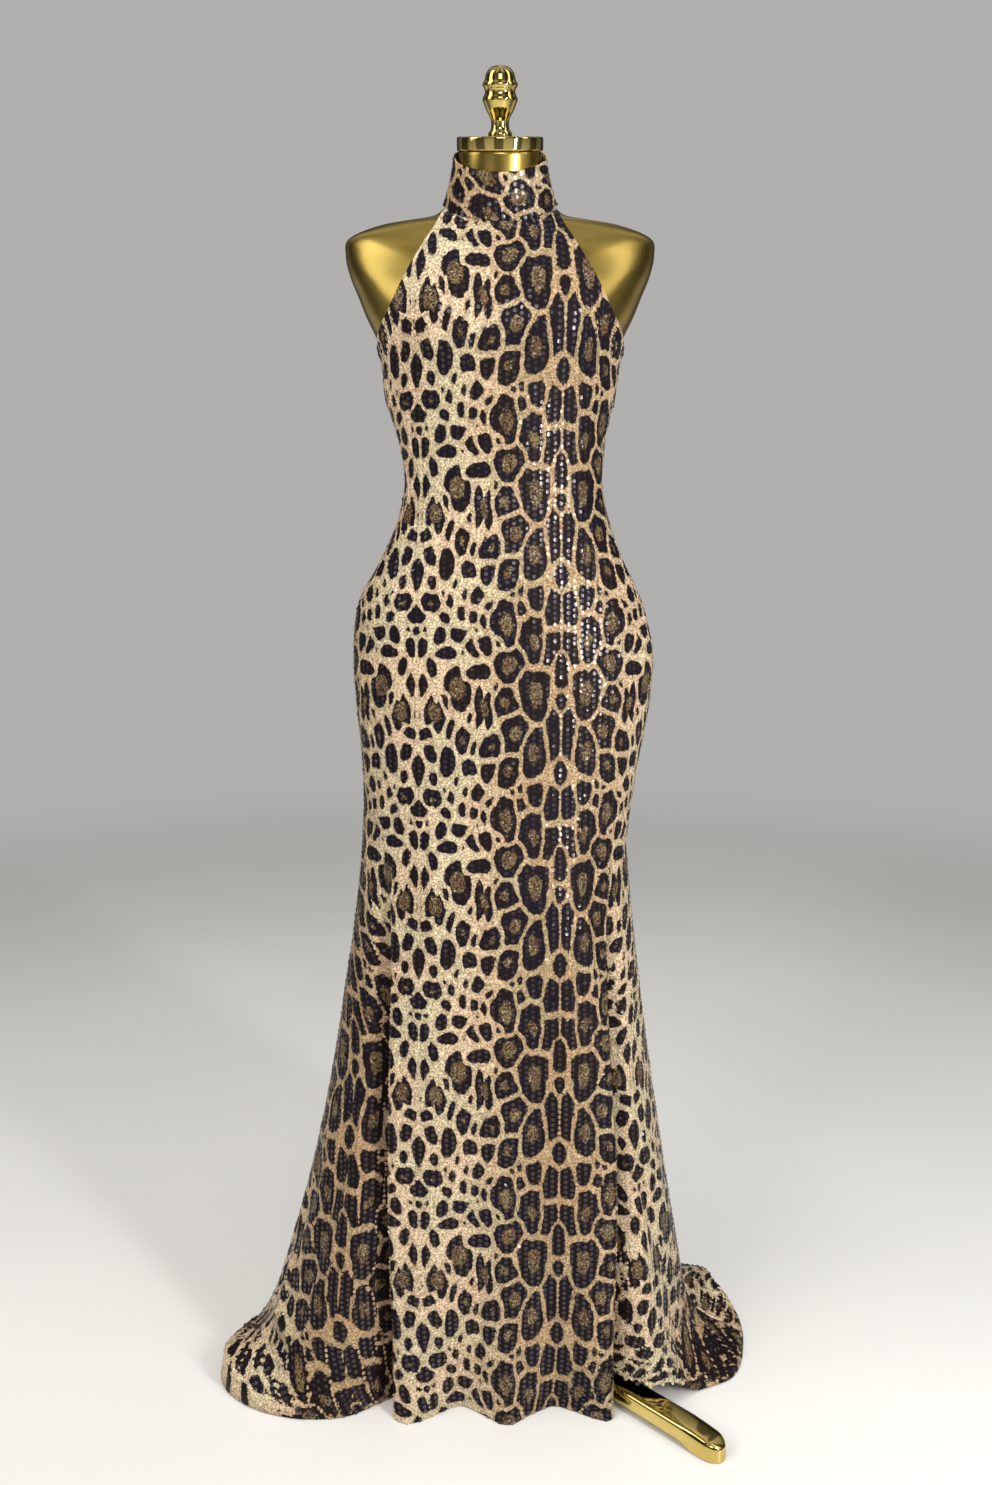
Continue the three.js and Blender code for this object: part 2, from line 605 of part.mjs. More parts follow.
function cloth(name, { face, back }) {
  return mesh(name, wallGeometry(face, back), CLOTH);
}

function gown() {
  const group = new THREE.Group();
  const zip = zipGrids();
  group.add(
    cloth('front_panel', panelGrids(0)),
    cloth('back_panel_left', panelGrids(-1)),
    cloth('back_panel_right', panelGrids(1)),
    cloth('collar', collarGrids()),
    mesh('back_zip', wallGeometry(zip.face, zip.back), ZIP_NYLON),
  );
  return group;
}

function dressForm() {
  const group = new THREE.Group();
  const rings = [...FORM_ROWS.map(formRing), neckTopRing()];
  group.add(mesh('form_torso', ringsGeometry(rings), SATIN_GOLD));
  const top = new THREE.Group();
  top.position.set(0, NECK_TOP.y, NECK_TOP.z);
  top.rotation.x = NECK_TILT;
  const cap = mesh('neck_cap', turnedGeometry(CAP_PROFILE), BRIGHT_GOLD);
  cap.position.z = FIT_GAP;
  const knob = mesh('finial', turnedGeometry(KNOB_PROFILE), BRIGHT_GOLD);
  knob.position.z = cap.position.z + CAP.height + FIT_GAP;
  top.add(cap, knob);
  group.add(top);
  return group;
}

function stand() {
  const group = new THREE.Group();
  group.add(mesh('base_hub', turnedGeometry(HUB_PROFILE), BRIGHT_GOLD));
  const poleLength = FORM_BASE_Z - HUB.height - 2 * FIT_GAP;
  const poleProfile = [[0, 0], [POLE_RADIUS, 0], [POLE_RADIUS, poleLength], [0, poleLength]];
  const pole = mesh('pole', turnedGeometry(poleProfile), BRIGHT_GOLD);
  pole.position.z = HUB.height + FIT_GAP;
  group.add(pole);
  for (const [name, degrees] of Object.entries(LEG.angles)) {
    const leg = mesh(`leg_${name}`, legGeometry(), BRIGHT_GOLD);
    leg.rotation.z = rad(degrees);
    group.add(leg);
  }
  return group;
}

const assembly = new THREE.Group();
assembly.add(gown(), dressForm(), stand());

export default assembly;
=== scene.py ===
"""Leopard-print sequined halter gown with a stand collar and a small train, on a gold dress form.

Sizes in the tables are millimetres in the CAD's frame: the front faces -Y and the floor is z = 0.
"""

import bmesh
import bpy
import numpy as np
from bpy.props import FloatProperty, FloatVectorProperty, IntProperty, PointerProperty
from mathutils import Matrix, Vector


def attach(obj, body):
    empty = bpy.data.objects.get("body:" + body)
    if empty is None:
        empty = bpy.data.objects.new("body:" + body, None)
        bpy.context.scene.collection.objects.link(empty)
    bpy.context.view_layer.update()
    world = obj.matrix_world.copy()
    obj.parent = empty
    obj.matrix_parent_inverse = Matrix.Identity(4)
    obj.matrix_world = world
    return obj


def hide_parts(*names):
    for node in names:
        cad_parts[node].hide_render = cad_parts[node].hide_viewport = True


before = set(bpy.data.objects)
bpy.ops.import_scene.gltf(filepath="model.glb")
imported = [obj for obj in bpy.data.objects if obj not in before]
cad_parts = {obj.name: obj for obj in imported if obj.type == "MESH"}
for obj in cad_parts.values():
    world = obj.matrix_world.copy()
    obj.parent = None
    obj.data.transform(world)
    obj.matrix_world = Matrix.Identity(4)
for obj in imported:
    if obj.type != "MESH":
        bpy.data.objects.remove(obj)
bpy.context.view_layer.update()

bl_info = {
    "name": "Evening gown on a dress form",
    "version": (1, 0, 0),
    "blender": (4, 5, 0),
    "location": "3D View > Sidebar > Gown",
    "description": "Builds a sequined evening gown, the dress form under it and a plain studio",
    "category": "Add Mesh",
}

MM = 0.001


# ------------------------------------------------------------------ tables
def table(columns, *rows):
    """Named columns of numbers, one row for each section, fold or spot."""
    grid = np.array(rows, float)
    return {name: grid[:, i] for i, name in enumerate(columns.split())}


# The dress form, from its base to the neck: reach each way, how square its corners are, the
# radius of the neck's root, how far its centre leans back, and its slope in degrees.
FORM = table(
    "z left right front back square neck lean tilt",
    (742, 180, 164, 104, 106, 2.1, 0, 0, 0),
    (800, 180, 174, 104, 109, 2.1, 0, 0, 0),
    (860, 181, 183, 103, 115, 2.1, 0, 0, 0),
    (930, 187, 195, 102, 122, 2.1, 0, 0, 0),
    (1000, 190, 199, 101, 122, 2.1, 0, 0, 0),
    (1068, 182, 184, 98, 107, 2.1, 0, 0, 0),
    (1125, 152, 157, 91, 88, 2.1, 0, 0, 0),
    (1175, 129, 138, 84, 74, 2.1, 0, 0, 0),
    (1225, 119, 129, 80, 68, 2.1, 0, 0, 0),
    (1280, 127, 132, 86, 74, 2.1, 0, 0, 0),
    (1330, 143, 143, 96, 83, 2.1, 0, 0, 0),
    (1378, 147.5, 150, 106, 89, 2.15, 0, 0, 0),
    (1405, 158, 158, 109, 92, 2.2, 0, 0, 0),
    (1430, 170, 170, 107, 93, 2.25, 0, 0, 0),
    (1455, 180, 180, 100, 92, 2.3, 10, 0, 0),
    (1480, 190, 190, 87, 88, 2.35, 40, -1, 0),
    (1505, 195, 195, 70, 79, 2.35, 58, -2, 0),
    (1525, 190, 190, 50, 62, 2.3, 60, -4, 0),
    (1540, 150, 150, 36, 46, 2.2, 58, -7, 0),
    (1550, 88, 88, 26, 34, 2.1, 56, -9, 0),
    (1560, 68, 68, 20, 26, 2, 54, -12, 2),
    (1575, 40, 40, 20, 20, 2, 52.5, -16.5, 6),
    (1595, 30, 30, 20, 20, 2, 52, -22, 11),
)
NECK_BLEND = 7
BUST = {"angle": 38, "z": 1415, "swell": 11, "spread": 17, "height": 46}
COVER = 5.0  # from the form to the cloth's face
YOKE_EASE = 1.8
SEAM = 0.3
UNDERARM = 1378
SKIRT_TOP = 800
TRAIN_TOP = 65
HEM_CLEAR = 1
LIFT_TOP = 200
NECK_REACH = 84

ARMHOLE = table(
    "z front back",
    (1378, 90, 90), (1393, 79, 78), (1407, 70, 68), (1424, 61, 59),
    (1442, 56, 54), (1470, 52.5, 50), (1500, 50.5, 48), (1565, 50, 47),
)

# The two rings that bound the collar.
NECK_SEAM = {"across": 70, "deep": 57.5, "y": -13.5, "z": 1566, "drop": 35, "rise": 20}
COLLAR_TOP = {"across": 57, "deep": 51.5, "y": -26.5, "z": 1618, "drop": 33, "rise": 26}

# The skirt round its hem: reach of its fall, how late it flares, the train's run and height,
# and how far the hem is lifted.
SKIRT = table(
    "at fall late train lie lift",
    (-180, 330, 1.7, 96, 10, 0), (-165, 328, 1.7, 84, 16, 0), (-148, 320, 1.7, 58, 10, 0),
    (-126, 322, 1.6, 26, 16, 0), (-106, 340, 1.5, 8, 14, 0), (-92, 350, 1.5, 12, 28, 0),
    (-82, 350, 1.5, 44, 30, 0), (-73, 348, 1.5, 55, 37, 0), (-65, 338, 1.5, 44, 26, 0),
    (-56, 312, 1.4, 24, 10, 0), (-48, 270, 1.2, 10, 8, 0), (-42, 240, 1, 0, 8, 0),
    (-33, 214, 0.9, 0, 8, 0), (-15, 184, 0.9, 0, 8, 0), (0, 180, 0.9, 0, 8, 0),
    (18, 187, 0.9, 0, 8, 0), (36, 226, 0.9, 0, 8, 0), (39.5, 235, 1, 0, 8, 3),
    (43, 246, 1, 0, 8, 38), (48, 268, 1.1, 0, 8, 40), (54, 280, 1.25, 2, 8, 37),
    (59, 282, 1.3, 8, 8, 18), (64, 283, 1.3, 24, 8, 0), (72, 284, 1.3, 60, 9, 0),
    (84, 284, 1.3, 72, 13, 0), (93, 284, 1.3, 76, 8, 0), (101, 285, 1.35, 78, 26, 0),
    (109, 287, 1.4, 66, 22, 0), (118, 290, 1.5, 32, 10, 0), (134, 303, 1.6, 36, 16, 0),
    (152, 320, 1.7, 66, 20, 0), (167, 328, 1.7, 90, 38, 0), (180, 330, 1.7, 96, 10, 0),
)

# The folds that hang in the skirt: the bottom of each valley from its head to the floor.
FOLDS = table(
    "head_x head_y foot_x foot_y top depth half",
    (-156, -62, -158, -168, 765, 62, 13), (158, -62, 160, -166, 750, 48, 12),
    (-178, -10, -300, -20, 560, 12, 30), (165, 10, 268, 60, 520, 16, 26),
    (-150, 60, -215, 215, 620, 30, 32), (-70, 100, -95, 320, 600, 32, 34),
    (70, 100, 110, 315, 640, 34, 32), (146, 60, 205, 220, 600, 28, 30),
)

# The hem's soft waves.
WAVES = table(
    "at out half fade",
    (-32, 22, 6.5, 120), (-18.5, -15, 7, 120), (3, 20, 8, 120), (25, -17, 7, 120),
    (36.5, 14, 4.5, 120),
)

# Smaller creases, in direction and height: from a head to a foot, with a depth (+ is a ridge)
# and half a width.
CREASES = table(
    "head_at head_z foot_at foot_z depth half",
    (-60, 430, -66, 60, -5, 11), (-72, 330, -82, 70, -4, 12), (-52, 360, -53, 60, 4, 10),
    (-80, 260, -70, 40, 5, 9), (-90, 420, -97, 60, -4, 14), (-66, 150, -84, 42, -5, 8),
    (-62, 62, -86, 150, 6, 9), (-57, 30, -80, 60, -4, 6), (58, 420, 66, 70, -5, 10),
    (70, 330, 80, 60, 4, 11), (50, 300, 52, 90, 3, 8), (88, 300, 95, 50, -5, 9),
    (78, 110, 92, 22, 5, 8), (100, 60, 84, 18, -4, 7), (-10, 210, -11, 20, -3, 9),
    (12, 240, 14, 20, 3, 10), (-25, 190, -27, 10, 3, 7), (30, 160, 31, 10, -3, 7),
    (-120, 420, -124, 60, -5, 14), (-140, 340, -146, 50, 4, 12), (-162, 460, -166, 60, -5, 13),
    (176, 400, 178, 60, 4, 12), (158, 420, 160, 60, -5, 12), (136, 360, 140, 50, -4, 12),
    (116, 380, 120, 60, 4, 13), (-84, 1180, -58, 1212, -1.6, 9), (86, 1190, 60, 1224, -1.6, 9),
    (-80, 1252, -50, 1236, 1.2, 8), (80, 1262, 54, 1246, 1.2, 8), (-88, 1366, -62, 1345, -1.5, 8),
    (88, 1368, 64, 1350, -1.5, 8), (150, 1210, 118, 1236, -1.4, 9), (-150, 1210, -118, 1236, -1.4, 9),
    (-36, 820, -40, 620, 2, 12), (40, 800, 44, 600, 2, 12),
)

# Half a repeat of the leopard print, from the dark spine (0) across to the pale belly (185),
# 250 deep: half sizes and tilt of each spot, the share of it that is a brown eye, and how
# many times and where its ring is broken.
HALF_REPEAT = 185
REPEAT = 250
SPOTS = table(
    "across down wide high tilt eye breaks turn",
    (13, 22, 11, 27, -16, 0, 0, 0), (0, 56, 9, 26, 0, 0, 0, 0), (0, 88, 8, 17, 0, 0, 0, 0),
    (8.5, 134, 12, 38, 5, 0, 0, 0), (0, 181, 12, 24, 0, 0, 0, 0), (10.5, 222, 11, 30, 0, 0, 0, 0),
    (36, 16, 15, 28, 6, 0.36, 1, 200), (33, 82, 18, 33, 0, 0.46, 0, 0),
    (35, 157, 15, 31, -4, 0.42, 0, 0), (32, 211, 12, 17, 0, 0, 0, 0),
    (71, 244, 15, 26, 6, 0.5, 0, 0), (67, 44, 18, 20, 0, 0.48, 1, 270),
    (70, 92, 14, 18, 0, 0.36, 1, 210), (60, 131, 17, 22, -10, 0.42, 0, 0),
    (67, 179, 13, 20, -24, 0.36, 0, 0), (52, 203, 5, 8, 0, 0, 0, 0), (50, 223, 5, 9, 0, 0, 0, 0),
    (62, 207, 5, 5, 0, 0, 0, 0), (95, 22, 8, 12, 20, 0, 0, 0), (105, 53, 14, 9, 5, 0, 0, 0),
    (98, 98, 11, 27, -4, 0.42, 2, 90), (90, 149, 11, 17, -18, 0.36, 0, 0),
    (92, 180, 9, 13, 0, 0, 0, 0), (111, 151, 4, 8, 0, 0, 0, 0), (119, 207, 5, 8, -20, 0, 0, 0),
    (106, 209, 9, 12, 20, 0, 0, 0), (93, 221, 6, 8, 0, 0, 0, 0), (124, 231, 5, 8, 0, 0, 0, 0),
    (112, 233, 5, 9, -10, 0, 0, 0), (99, 239, 5, 12, -10, 0, 0, 0), (107, 250, 4, 5, 0, 0, 0, 0),
    (131, 6, 11, 8, -8, 0, 0, 0), (113, 22, 7, 11, 32, 0, 0, 0), (145, 28, 12, 8, 0, 0, 0, 0),
    (127, 29, 3, 4, 0, 0, 0, 0), (133, 74, 17, 27, 0, 0.52, 2, 40), (148, 92, 6, 14, 4, 0, 0, 0),
    (142, 126, 6, 14, -8, 0, 0, 0), (126, 139, 10, 20, 0, 0.3, 1, 300),
    (118, 176, 11, 11, 0, 0.2, 1, 90), (134, 190, 4, 10, 0, 0, 0, 0),
    (146, 170, 11, 19, 5, 0, 0, 0), (152, 6, 7, 12, -20, 0, 0, 0), (173, 1, 4, 6, 0, 0, 0, 0),
    (185, 3, 8, 8, 0, 0, 0, 0), (185, 231, 10, 13, 0, 0, 0, 0), (166, 217, 13, 13, 0, 0.25, 1, 80),
    (141, 216, 5, 8, 0, 0, 0, 0), (147, 236, 6, 9, 20, 0, 0, 0), (178, 21, 8, 14, -8, 0, 0, 0),
    (164, 47, 6, 12, 10, 0, 0, 0), (176, 70, 6, 16, -6, 0, 0, 0), (163, 105, 15, 24, 8, 0.5, 2, 60),
    (181, 108, 3.5, 9, 0, 0, 0, 0), (176, 134, 9, 10, 0, 0, 0, 0), (169, 156, 6, 15, 16, 0, 0, 0),
    (185, 183, 7, 20, 0, 0, 0, 0), (166, 191, 5, 7, 0, 0, 0, 0), (150, 207, 4, 5, 0, 0, 0, 0),
    (84, 72, 4, 6, 0, 0, 0, 0), (118, 112, 4, 9, 0, 0, 0, 0), (81, 20, 4, 7, 0, 0, 0, 0),
)
SPOT_GAP = 4.2  # tan line between two crowded spots
SPINE_GAP = 2.4
SPREAD, SPREAD_SPARSE = 1.3, 0.5  # of the ink past each spot's outline
CROWDED, SPARSE = 1.12, 1.04  # how far spots are enlarged near the spine and near the belly


# ------------------------------------------------------------------ curves and noise
def curve(rows, key, column, places):
    """A smooth curve through one column of a table."""
    x, v = rows[key], rows[column]
    before = np.maximum(np.arange(len(x)) - 1, 0)
    after = np.minimum(np.arange(len(x)) + 1, len(x) - 1)
    slopes = (v[after] - v[before]) / (x[after] - x[before])
    p = np.clip(places, x[0], x[-1])
    i = np.clip(np.searchsorted(x, p, side="right") - 1, 0, len(x) - 2)
    step = x[i + 1] - x[i]
    t = (p - x[i]) / step
    return (
        (2 * t**3 - 3 * t**2 + 1) * v[i] + (3 * t**2 - 2 * t**3) * v[i + 1]
        + (t**3 - 2 * t**2 + t) * step * slopes[i] + (t**3 - t**2) * step * slopes[i + 1]
    )


def turn(degrees):
    return degrees - 360 * np.round(degrees / 360)


def bell(distance):
    return np.exp(-distance * distance)


def ease(x, low, high):
    t = np.clip((x - low) / (high - low), 0, 1)
    return t * t * (3 - 2 * t)


def mix(a, b, t):
    return a + (b - a) * t


def unit(vectors):
    return vectors / np.maximum(np.linalg.norm(vectors, axis=-1, keepdims=True), 1e-12)


def ripple(x, y, seed, period=64):
    """Smooth noise from -1 to 1 that repeats after `period` lattice steps."""
    lattice = np.random.default_rng(seed).uniform(-1, 1, (period, period))
    i, j = np.floor(x).astype(int), np.floor(y).astype(int)
    s, t = ease(x - i, 0, 1), ease(y - j, 0, 1)
    low = mix(lattice[i % period, j % period], lattice[(i + 1) % period, j % period], s)
    high = mix(lattice[i % period, (j + 1) % period], lattice[(i + 1) % period, (j + 1) % period], s)
    return mix(low, high, t)


# ------------------------------------------------------------------ the form and the gown
def body_radius(degrees, z, cover):
    at = np.radians(degrees)
    s, c = np.sin(at), np.cos(at)

    def reach(name):
        return curve(FORM, "z", name, z) + cover

    square = curve(FORM, "z", "square", z)
    across = np.abs(s) / np.where(s < 0, reach("left"), reach("right"))
    deep = np.abs(c) / np.where(c > 0, reach("front"), reach("back"))
    trunk = (across**square + deep**square) ** (-1 / square)
    root = np.maximum(curve(FORM, "z", "neck", z), 0) + cover
    plain = (trunk**NECK_BLEND + root**NECK_BLEND) ** (1 / NECK_BLEND)
    side = (np.abs(turn(degrees)) - BUST["angle"]) / BUST["spread"]
    return plain + BUST["swell"] * bell(side) * bell((z - BUST["z"]) / BUST["height"])


def form_reach(points):
    """How far points lie outside the form, measured level."""
    x, y, z = points[..., 0], points[..., 1], points[..., 2]
    forward = y - curve(FORM, "z", "lean", z)
    level = z - forward * np.tan(np.radians(curve(FORM, "z", "tilt", z)))
    degrees = np.degrees(np.arctan2(x, -forward))
    return np.hypot(x, forward) - body_radius(degrees, level, 0)


def keep_clear(points, clear):
    points = points.copy()
    for _ in range(5):
        reach = form_reach(points)
        slope = np.stack([(form_reach(points + step) - reach) / 0.5 for step in np.eye(3) * 0.5], -1)
        steep = np.linalg.norm(slope, axis=-1)
        short = np.maximum(clear - reach / steep, 0)
        points += slope / steep[..., None] * short[..., None]
    return points


def fold_depth(at, z, radius):
    depth = np.zeros_like(radius)
    for hx, hy, fx, fy, top, deep, half in zip(*FOLDS.values()):
        up = z / top
        x, y = mix(fx, hx, up), mix(fy, hy, up)
        centre = np.degrees(np.arctan2(x, -y))
        away = np.radians(turn(at - centre)) * radius
        grown = np.where(z < top, ease(1 - up, 0, 0.42), 0)
        depth += deep * grown * bell(away / (half * mix(1, 0.6, up)))
    return depth


def gown_radius(degrees, z):
    body = body_radius(degrees, z, COVER)
    at = turn(degrees)
    flare = np.maximum(0, 1 - z / SKIRT_TOP) ** curve(SKIRT, "at", "late", at)
    hung = mix(body, curve(SKIRT, "at", "fall", at), flare)
    waves = sum(
        out * bell(turn(at - centre) / half) * np.exp(-z / fade)
        for centre, out, half, fade in zip(*WAVES.values())
    )
    return np.where(z >= SKIRT_TOP, body, hung - fold_depth(at, z, hung) + waves)


def polar(degrees, radius, z, y=0.0):
    at = np.radians(degrees)
    z = np.broadcast_to(z, np.shape(radius * at))
    return np.stack([radius * np.sin(at), y - radius * np.cos(at), z], -1)


def ring_point(ring, degrees):
    at = np.radians(degrees)
    c = np.cos(at)
    return np.stack([
        ring["across"] * np.sin(at),
        ring["y"] - ring["deep"] * c,
        ring["z"] - np.where(c > 0, ring["drop"], ring["rise"]) * c,
    ], -1)


def neck_seam(degrees):
    return keep_clear(ring_point(NECK_SEAM, degrees), COVER)


def direction(side, c, z):
    """Direction of the columns c of a panel at one height."""
    if side:
        return side * (180 - c * 90)
    share = np.abs(c)
    result = np.zeros_like(c)
    for left in (True, False):
        fold = {name: FOLDS[name][0 if left else 1] for name in FOLDS}
        up = np.clip(z / fold["top"], 0, 1)
        x = mix(fold["foot_x"], fold["head_x"], up)
        y = mix(fold["foot_y"], fold["head_y"], up)
        valley = np.degrees(np.arctan2(abs(x), -y))
        crowded = np.interp(
            share, [0, 0.4, 0.5, 0.6, 0.7, 1],
            [0, valley - 9.5, valley - 4.5, valley, valley + 6, 90],
        )
        use = ease(SKIRT_TOP + 60 - z, 0, 260)
        here = np.sign(c) * mix(share * 90, crowded, use)
        result = np.where((c < 0) == left, here, result)
    return result


def gown_row(side, c, kind, place):
    """One row of a panel. kind is yoke, body or train, and place its share or its height."""
    if kind == "yoke":
        seam = neck_seam(c * NECK_REACH if side == 0 else side * (180 - c * NECK_REACH))
        level = mix(UNDERARM, seam[..., 2], place)
        cut = curve(ARMHOLE, "z", "back" if side else "front", level)
        degrees = side * (180 - c * cut) if side else c * cut
        radius = body_radius(degrees, level, COVER)
        points = polar(degrees, radius, level, curve(FORM, "z", "lean", level))
        points = mix(points, seam, ease(place, 0.45, 1))
        if place < 1:
            points = keep_clear(points, COVER + YOKE_EASE * ease(place, -0.25, 0.12))
    elif kind == "body":
        degrees = direction(side, c, place)
        points = polar(degrees, gown_radius(degrees, place), place)
    else:
        level = mix(TRAIN_TOP, HEM_CLEAR, place)
        degrees = direction(side, c, level)
        at = turn(degrees)
        train = np.maximum(0, curve(SKIRT, "at", "train", at))
        lie = curve(SKIRT, "at", "lie", at)
        laid = lie + (TRAIN_TOP - lie) * (1 - place) ** 2.4
        laid = mix(laid, HEM_CLEAR + 0.6, ease(place, 0.93, 1))
        radius = gown_radius(degrees, level) + train * place**1.25
        points = polar(degrees, radius, mix(level, laid, ease(train, 0, 30)))
    at = np.degrees(np.arctan2(points[..., 0], -points[..., 1]))
    lift = np.maximum(0, curve(SKIRT, "at", "lift", at))
    low = np.clip(1 - points[..., 2] / LIFT_TOP, 0, 1)
    points[..., 2] += lift * low**2
    return points


def normals_of(points):
    """Outward normals of a grid of rows and columns."""
    across = np.gradient(points, axis=1)
    down = np.gradient(points, axis=0)
    return unit(np.cross(down, across))


def crease_height(points):
    at = np.degrees(np.arctan2(points[..., 0], -points[..., 1]))
    radius = np.hypot(points[..., 0], points[..., 1])
    height = np.zeros(points.shape[:-1])
    for hx, hz, fx, fz, depth, half in zip(*CREASES.values()):
        run, fall = np.radians(turn(fx - hx)) * radius, fz - hz
        dx, dz = np.radians(turn(at - hx)) * radius, points[..., 2] - hz
        length = np.hypot(run, fall)
        t = (dx * run + dz * fall) / length**2
        uneven = ripple(t * 2.5 + hx, t * 0 + hz, 11)
        away = (dx * fall - dz * run) / length + uneven * half * 0.6
        reach = np.clip(t * (1 - t) * 4, 0, 1) ** 0.8
        height += depth * (1 + 0.3 * uneven) * reach * bell(away / half)
    return height


ROWS = (
    [("yoke", 1 - i / 52) for i in range(52)]
    + [("body", mix(UNDERARM, TRAIN_TOP, i / 356)) for i in range(356)]
    + [("train", i / 30) for i in range(31)]
)


def panel_grid(side, count):
    """Points, normals and flat places (across, down) of a panel's face."""
    c = np.linspace(-1, 1, count) if side == 0 else np.linspace(0, 1, count)
    if side > 0:
        c = c[::-1]
    points = np.stack([gown_row(side, c, kind, place) for kind, place in ROWS])
    points[..., 1] += (-SEAM / 2 if side == 0 else SEAM / 2) * np.abs(c)
    points[..., 0] += side * SEAM / 2 * (1 - c)
    normals = normals_of(points)
    sway = crease_height(points) + 0.35 * ripple(points[..., 2] / 26, points[..., 0] / 18, 5)
    points = points + normals * sway[..., None]
    points[..., 2] = np.maximum(points[..., 2], HEM_CLEAR)
    normals = normals_of(points)
    middle = {0: count // 2, -1: 0, 1: count - 1}[side]
    steps = np.linalg.norm(np.diff(points, axis=1), axis=-1)
    across = np.concatenate([np.zeros((len(points), 1)), np.cumsum(steps, axis=1)], axis=1)
    across -= across[:, middle : middle + 1]
    fall = np.linalg.norm(np.diff(points[:, middle], axis=0), axis=-1)
    down = np.concatenate([[0], np.cumsum(fall)])
    return points, normals, across, np.broadcast_to(down[:, None], across.shape)


def turn_under(points, normals, across, down, ends):
    """Turns the edges named in ends under by a few millimetres, as a sewn edge is."""
    for axis, end in ends:
        def line(grid, i):
            return np.take(grid, [i if end == "first" else grid.shape[axis] - 1 - i], axis)

        lip = line(points, 0) - 1.3 * line(normals, 0)
        under = line(points, 3) - 1.9 * line(normals, 3)
        added = [under, lip] if end == "first" else [lip, under]

        def join(grid, extra):
            return np.concatenate(extra + [grid] if end == "first" else [grid] + extra, axis)

        order = (3, 0) if end == "first" else (0, 3)
        points = join(points, added)
        normals, across, down = (
            join(grid, [line(grid, i) for i in order]) for grid in (normals, across, down)
        )
    points[..., 2] = np.maximum(points[..., 2], 0.3)
    return points, normals, across, down


def collar_grid(columns, rows):
    """The collar, a band of cloth from the neck seam to its turned top edge."""
    c = np.linspace(-1, 1, columns)
    round_ = c * 180
    seam, top = neck_seam(round_), ring_point(COLLAR_TOP, round_)
    seam = seam + unit(top - seam) * 2 * SEAM
    lines = []
    for up in np.linspace(1, 0, rows):
        line = mix(seam, top, up)
        drawn = np.sin(np.pi * up) * 1.5
        line = line + polar(round_, -drawn, 0.0)
        lines.append(line if up in (0, 1) else keep_clear(line, 2.8))
    points = np.stack(lines)
    points[:, 0, 0] += SEAM / 2
    points[:, -1, 0] -= SEAM / 2
    normals = normals_of(points)
    up = np.linspace(1, 0, rows)[:, None]
    at = round_[None, :]
    gathers = sum(
        depth * bell((at - centre - 5 * (1 - up) * np.sign(centre)) / 1.8) * (1 - up) ** 1.2
        for centre, depth in ((-7, -1.6), (-3.5, 1.5), (1, -1.9), (5, 1.6), (9, -1.3), (14, 0.8))
    )
    soft = 0.5 * ripple(at / 17 + 9, up * 2 + at / 50, 8)
    points = points + normals * (gathers + soft)[..., None]
    across = np.broadcast_to(c * 210.0, points.shape[:2])
    rise = np.linalg.norm(top - seam, axis=-1)
    down = np.broadcast_to(-up * rise[None, :], points.shape[:2])
    return points, normals_of(points), across, down


# ------------------------------------------------------------------ the print
def spot_copies():
    """The half repeat's spots with those that reach over its edges, mirrored and repeated."""
    rows = np.stack(list(SPOTS.values()), 1)
    copies = []
    for shift in (-REPEAT, 0, REPEAT):
        for flip, base in ((1, 0), (-1, 0), (-1, 2 * HALF_REPEAT)):
            moved = rows.copy()
            moved[:, 0] = base + flip * rows[:, 0]
            moved[:, 1] += shift
            moved[:, 4] *= flip
            if flip < 0:
                moved[:, 7] = 180 - rows[:, 7]
            near = (moved[:, 0] > -40) & (moved[:, 0] < HALF_REPEAT + 40)
            near &= (moved[:, 1] > -45) & (moved[:, 1] < REPEAT + 45)
            if flip < 0:
                near &= np.abs(rows[:, 0] - base / 2) > 0.5
            copies.append(moved[near])
    return np.concatenate(copies)


